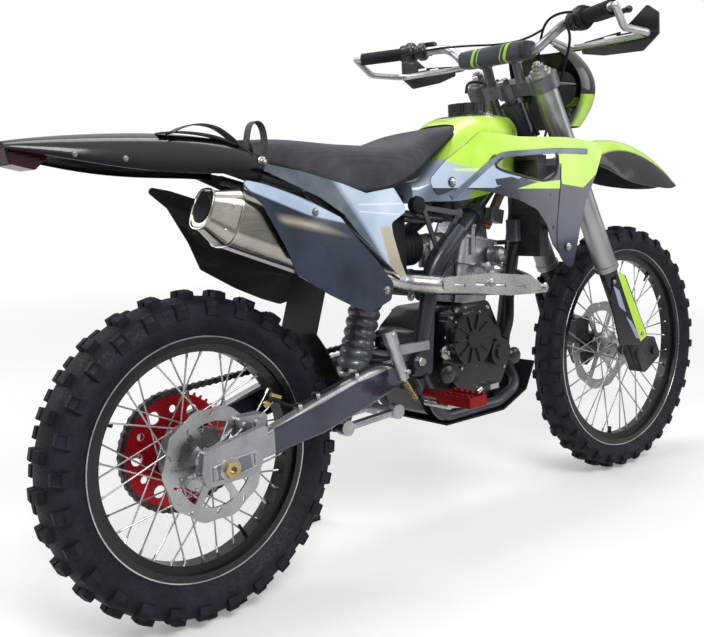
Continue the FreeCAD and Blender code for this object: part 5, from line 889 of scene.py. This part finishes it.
def spring_line(start, end, radius, wire, coils):
    """Small coil spring between two points."""
    along = (end - start).normalized()
    across = along.orthogonal().normalized()
    other = along.cross(across)
    line = []
    steps = coils * 12
    for index in range(steps + 1):
        turn = math.tau * index / 12
        line.append(start + (end - start) * index / steps
                    + (across * math.cos(turn) + other * math.sin(turn)) * radius)
    return swept(line, round_section(wire, 5), along)


def small_hoses():
    """Hoses and leads round the engine, throttle fittings, electric blocks and the pedal's spring."""
    brown = finish("brown_hose", (92, 66, 48), (134, 102, 78), (0.45, 0.65), bump=0.2)
    hose("coolant_hose", [(905, -70, 700), (880, -72, 660), (862, -74, 600), (858, -78, 540), (846, -84, 490),
                          (815, -92, 462)], 11)
    hose("upper_coolant_hose", [(905, -60, 850), (872, -52, 818), (846, -46, 770), (822, -40, 730)], 12,
         material=brown)
    hose("plug_lead", [(800, -20, 722), (812, -48, 756), (796, -64, 792), (770, -58, 824)], 3.6)
    hose("red_lead", [(740, -70, 748), (762, -74, 738), (788, -72, 744), (812, -68, 736)], 2.6, slot="peg_red")
    hose("fuel_line", [(742, -66, 704), (758, -76, 726), (774, -72, 764), (772, -58, 806)], 3.6)
    hose("drain_line", [(690, -62, 652), (676, -74, 600), (660, -78, 560), (640, -82, 520)], 2.8)
    hose("breather", [(815, 0, 1052), (816, 0, 1066), (826, 0, 1078), (850, 0, 1080), (874, 0, 1078)], 3.4)
    Pile(turned([(0, 9), (62, 9), (64, 12), (72, 12), (73, 8)], (743, -66, 672), (0.06, 0, 1), 18),
         turned([(0, 16), (4, 20), (20, 22), (34, 19), (42, 10)], (800, -70, 664), (0.3, -1, 0.1), 24),
         turned([(0, 12), (8, 12), (9, 9)], (770, -84, 640), -AXIS_Y, 18)
         ).piece("throttle_fittings", "bare_alloy")
    Pile(swept([(905, -68, 690), (905, -68, 745)], flat_section(46, 34), AXIS_X),
         swept([(820, -52, 762), (862, -52, 752)], flat_section(26, 34), AXIS_Y)
         ).piece("electric_blocks", "spring_paint", bevel=3)
    Pile(spring_line(Vector((452, -128, 424)), Vector((478, -132, 380)), 6, 1.4, 9)
         ).piece("pedal_spring", "gold_axle")


def caps_and_rods():
    """Rod of the rear master cylinder and the bolts of its eyes."""
    Pile(turned([(0, 3.5), (52, 3.5), (53, 2.5)], (452, -128, 428), (0.5, -0.08, -0.85), 12),
         hexagon_bolt((451, -142, 446), -AXIS_Y, 5.5), hexagon_bolt((416, -142, 530), -AXIS_Y, 5.5)
         ).piece("master_fittings", "steel")


def front_trim():
    """Clamp bolts, fork caps, cables, front brake hose and the lamp's glass."""
    bolts = Pile()
    for along in (610, 836):
        for side in (-1, 1):
            for rise in (-9, 9):
                bolts.add(socket_bolt(fork_point(along + rise, side * 66, 30), FORK_AHEAD, 4.5))
    for side in (-1, 1):
        cap = fork_point(868, side * FORK_SPREAD)
        bolts.add(hexagon_bolt(cap, FORK_UP, 16),
                  turned([(0, 9), (10, 9), (11, 6)], cap + FORK_UP * 10, FORK_UP, 18))
        for rise in (-12, 12):
            place = FRONT_AXLE + Vector((16, side * FORK_SPREAD, 0)) + FORK_UP * (rise - 24) + FORK_AHEAD * 4
            bolts.add(socket_bolt(place, FORK_AHEAD, 4))
    bolts.add(hexagon_bolt(fork_point(853, 0, -24), FORK_UP, 15))
    bolts.piece("fork_bolts", "steel", body="fork")
    hose("front_brake_hose", [(858, -262, 1176), (890, -250, 1170), (960, -200, 1150), (1035, -120, 1100),
                              (1110, -20, 1010), (1170, 60, 930), (1205, 104, 840), (1240, 122, 740),
                              (1278, 134, 640), (1312, 136, 540), (1322, 120, 470), (1308, 92, 430)],
         3.2, "fork")
    hose("throttle_cable", [(852, -286, 1196), (868, -240, 1204), (905, -170, 1196), (960, -110, 1160),
                            (1000, -70, 1120), (1012, -46, 1070), (1008, -34, 1026)], 3.0, "fork")
    hose("clutch_cable", [(858, 262, 1176), (900, 220, 1190), (950, 120, 1188), (985, 40, 1180),
                          (975, -60, 1178), (950, -130, 1190)], 2.8, "fork")
    hose("loom", [(1000, 70, 1090), (1030, 30, 1040), (1040, -10, 1000), (1030, -40, 950)], 5, "fork")
    lamp, outlook = (1228, 0, 1078), (1, 0, 0.3)
    clear = finish("lamp_glass", (150, 158, 166), (190, 198, 204), (0.06, 0.12), coat=0.8, bump=0.0)
    glass = Pile(turned([(-4, 42), (4, 42), (8, 34), (10, 20), (11, 4)], lamp, outlook, 40))
    glass.piece("lamp_glass", "steel", clear, "fork")
    ring = Pile(turned([(-4, 48), (5, 48), (7, 45), (5, 42), (-4, 42)], lamp, outlook, 40, closed=True))
    ring.piece("lamp_ring", "cap_black", body="fork")


def switch_gear():
    """Housings, lever mounts and fluid tanks at both ends of the bar, with their screws."""
    dark, bright = Pile(), Pile()
    for side in (-1, 1):
        end = Vector((838, side * 400, 1186))
        inward = (Vector((950, side * 186, 1190)) - end).normalized()
        place = end + inward * 132
        dark.add(turned([(0, 27), (4, 28), (16, 27), (20, 23)], place, inward, 28))
        across = inward.cross(AXIS_Z).normalized()
        rise = across.cross(inward)
        for turn in (0.6, 2.4, 4.4):
            spot = place + (across * math.cos(turn) + rise * math.sin(turn)) * 21 + inward * 18
            bright.add(socket_bolt(spot, inward, 2.6))
        mount = end + inward * 172
        dark.add(turned([(-9, 21), (-7, 23), (7, 23), (9, 21)], mount, inward, 24))
        tank = mount + Vector((20, 0, 14))
        dark.add(swept([tank + inward * -18, tank + inward * 22], flat_section(26, 20), AXIS_X))
        for along in (-12, 16):
            bright.add(socket_bolt(tank + inward * along + AXIS_Z * 10, AXIS_Z, 2.6))
    dark.piece("bar_housings", "engine_black", body="fork", bevel=1.2)
    bright.piece("bar_screws", "steel", body="fork")


def tail_lamp():
    """Frame round the red lens."""
    loop = [(-326, -30, 941), (-320, -30, 912), (-320, 30, 912), (-326, 30, 941)]
    Pile(swept(loop + loop[:1], round_section(3.2), AXIS_X)).piece("lamp_frame", "black_plastic")


PICTURE_WIDTH, FOCAL_LENGTH = 704, 967.886  # pixels
SENSOR_WIDTH = 36
CAMERA_PLACE = (-931.02, -1641.11, 836.86)
CAMERA_ANGLES = (50.5075, -7.5509, -3.1266)  # yaw, pitch and roll, degrees


def stage_and_light():
    """Pale floor, soft lamps, pale world and the camera."""
    mesh = bpy.data.meshes.new("floor")
    mesh.from_pydata([(-30, -30, 0), (30, -30, 0), (30, 30, 0), (-30, 30, 0)], [], [(0, 1, 2, 3)])
    floor = new_object("floor", mesh)
    material = bpy.data.materials.new("pale_floor")
    material.use_nodes = True
    tree = material.node_tree
    shader = tree.nodes["Principled BSDF"]
    coordinates = add_node(tree, "TexCoord").outputs["Object"]
    clouds = ranged(tree, noise(tree, coordinates, 1.5, 3.0), 0, 1)
    path = add_node(tree, "LightPath")
    connect(tree, shader, {
        "Base Color": mixed(tree, clouds, (0.86, 0.86, 0.86, 1), (0.90, 0.90, 0.90, 1)), "Roughness": 0.85,
        "Emission Color": (1, 1, 1, 1),
        "Emission Strength": computed(tree, "MULTIPLY", path.outputs["Is Camera Ray"], 0.22)})
    reach = add_node(tree, "VectorMath", {0: coordinates}, operation="LENGTH")
    far = ranged(tree, reach.outputs["Value"], 0.0, 1.0, 1.5, 3.4)
    far = computed(tree, "MULTIPLY", far, path.outputs["Is Camera Ray"])
    white = add_node(tree, "Emission", {"Color": (1, 1, 1, 1), "Strength": 1.0})
    join = add_node(tree, "MixShader", {0: far, 1: shader.outputs[0], 2: white.outputs[0]})
    tree.links.new(join.outputs[0], tree.nodes["Material Output"].inputs["Surface"])
    mesh.materials.append(material)

    world = bpy.data.worlds.new("studio")
    scene.world = world
    world.use_nodes = True
    tree = world.node_tree
    path = add_node(tree, "LightPath")
    seen = computed(tree, "MAXIMUM", path.outputs["Is Camera Ray"], path.outputs["Is Transmission Ray"])
    direction = add_node(tree, "SeparateXYZ", {0: add_node(tree, "TexCoord").outputs["Generated"]})
    mirrored = ranged(tree, direction.outputs["Z"], 0.22, 1.0, -0.05, 0.8)
    level = mixed_value(tree, path.outputs["Is Glossy Ray"], 0.26, mirrored)
    level = mixed_value(tree, seen, level, 1.0)
    connect(tree, tree.nodes["Background"], {"Color": (1, 1, 1, 1), "Strength": level})

    def lamp(name, place, target, size, power, colour=(1, 1, 1)):
        light = bpy.data.lights.new(name, "AREA")
        light.shape = "RECTANGLE"
        light.size, light.size_y = size
        light.energy = power
        light.color = colour
        made = new_object(name, light)
        made.location = place
        made.rotation_euler = (Vector(target) - Vector(place)).to_track_quat("-Z", "Y").to_euler()
        made.visible_camera = False

    lamp("key", (-1.2, -2.6, 3.2), (0, 0, 0.6), (2.0, 1.4), 92, (1, 0.99, 0.97))
    lamp("fill", (2.8, -2.4, 1.8), (0.2, 0, 0.6), (1.8, 1.8), 22, (0.96, 0.98, 1))
    lamp("top", (0, 0.6, 3.6), (0, 0, 0.5), (3.0, 1.2), 46)
    lamp("rim", (-2.4, 2.4, 2.2), (0, 0, 0.7), (1.6, 1.6), 26)

    camera_data = bpy.data.cameras.new("camera")
    camera_data.sensor_fit = "HORIZONTAL"
    camera_data.sensor_width = SENSOR_WIDTH
    camera_data.lens = FOCAL_LENGTH / PICTURE_WIDTH * SENSOR_WIDTH
    camera_data.clip_end = 200
    camera = new_object("camera", camera_data)
    yaw, pitch, roll = (math.radians(angle) for angle in CAMERA_ANGLES)
    ahead = Vector((math.cos(pitch) * math.cos(yaw), math.cos(pitch) * math.sin(yaw), math.sin(pitch)))
    right = ahead.cross(AXIS_Z).normalized()
    above = right.cross(ahead)
    turned_right = right * math.cos(roll) + above * math.sin(roll)
    turned_up = above * math.cos(roll) - right * math.sin(roll)
    axes = Matrix((turned_right, turned_up, -ahead)).transposed()
    lean = Matrix.Rotation(-LEAN, 3, "X")
    place = PARKED @ Vector(CAMERA_PLACE)
    camera.matrix_world = Matrix.Translation(place) @ (lean @ axes).to_4x4()
    scene.camera = camera
    scene.view_settings.view_transform = "Standard"


paint_nodes()
wheels()
seat()
bar_pad()
straps()
shroud_trim()
spar_shells()
body_screws()
engine_screws()
chassis_trim()
silencer_trim()
swingarm_trim()
small_hoses()
caps_and_rods()
front_trim()
switch_gear()
tail_lamp()
stage_and_light()
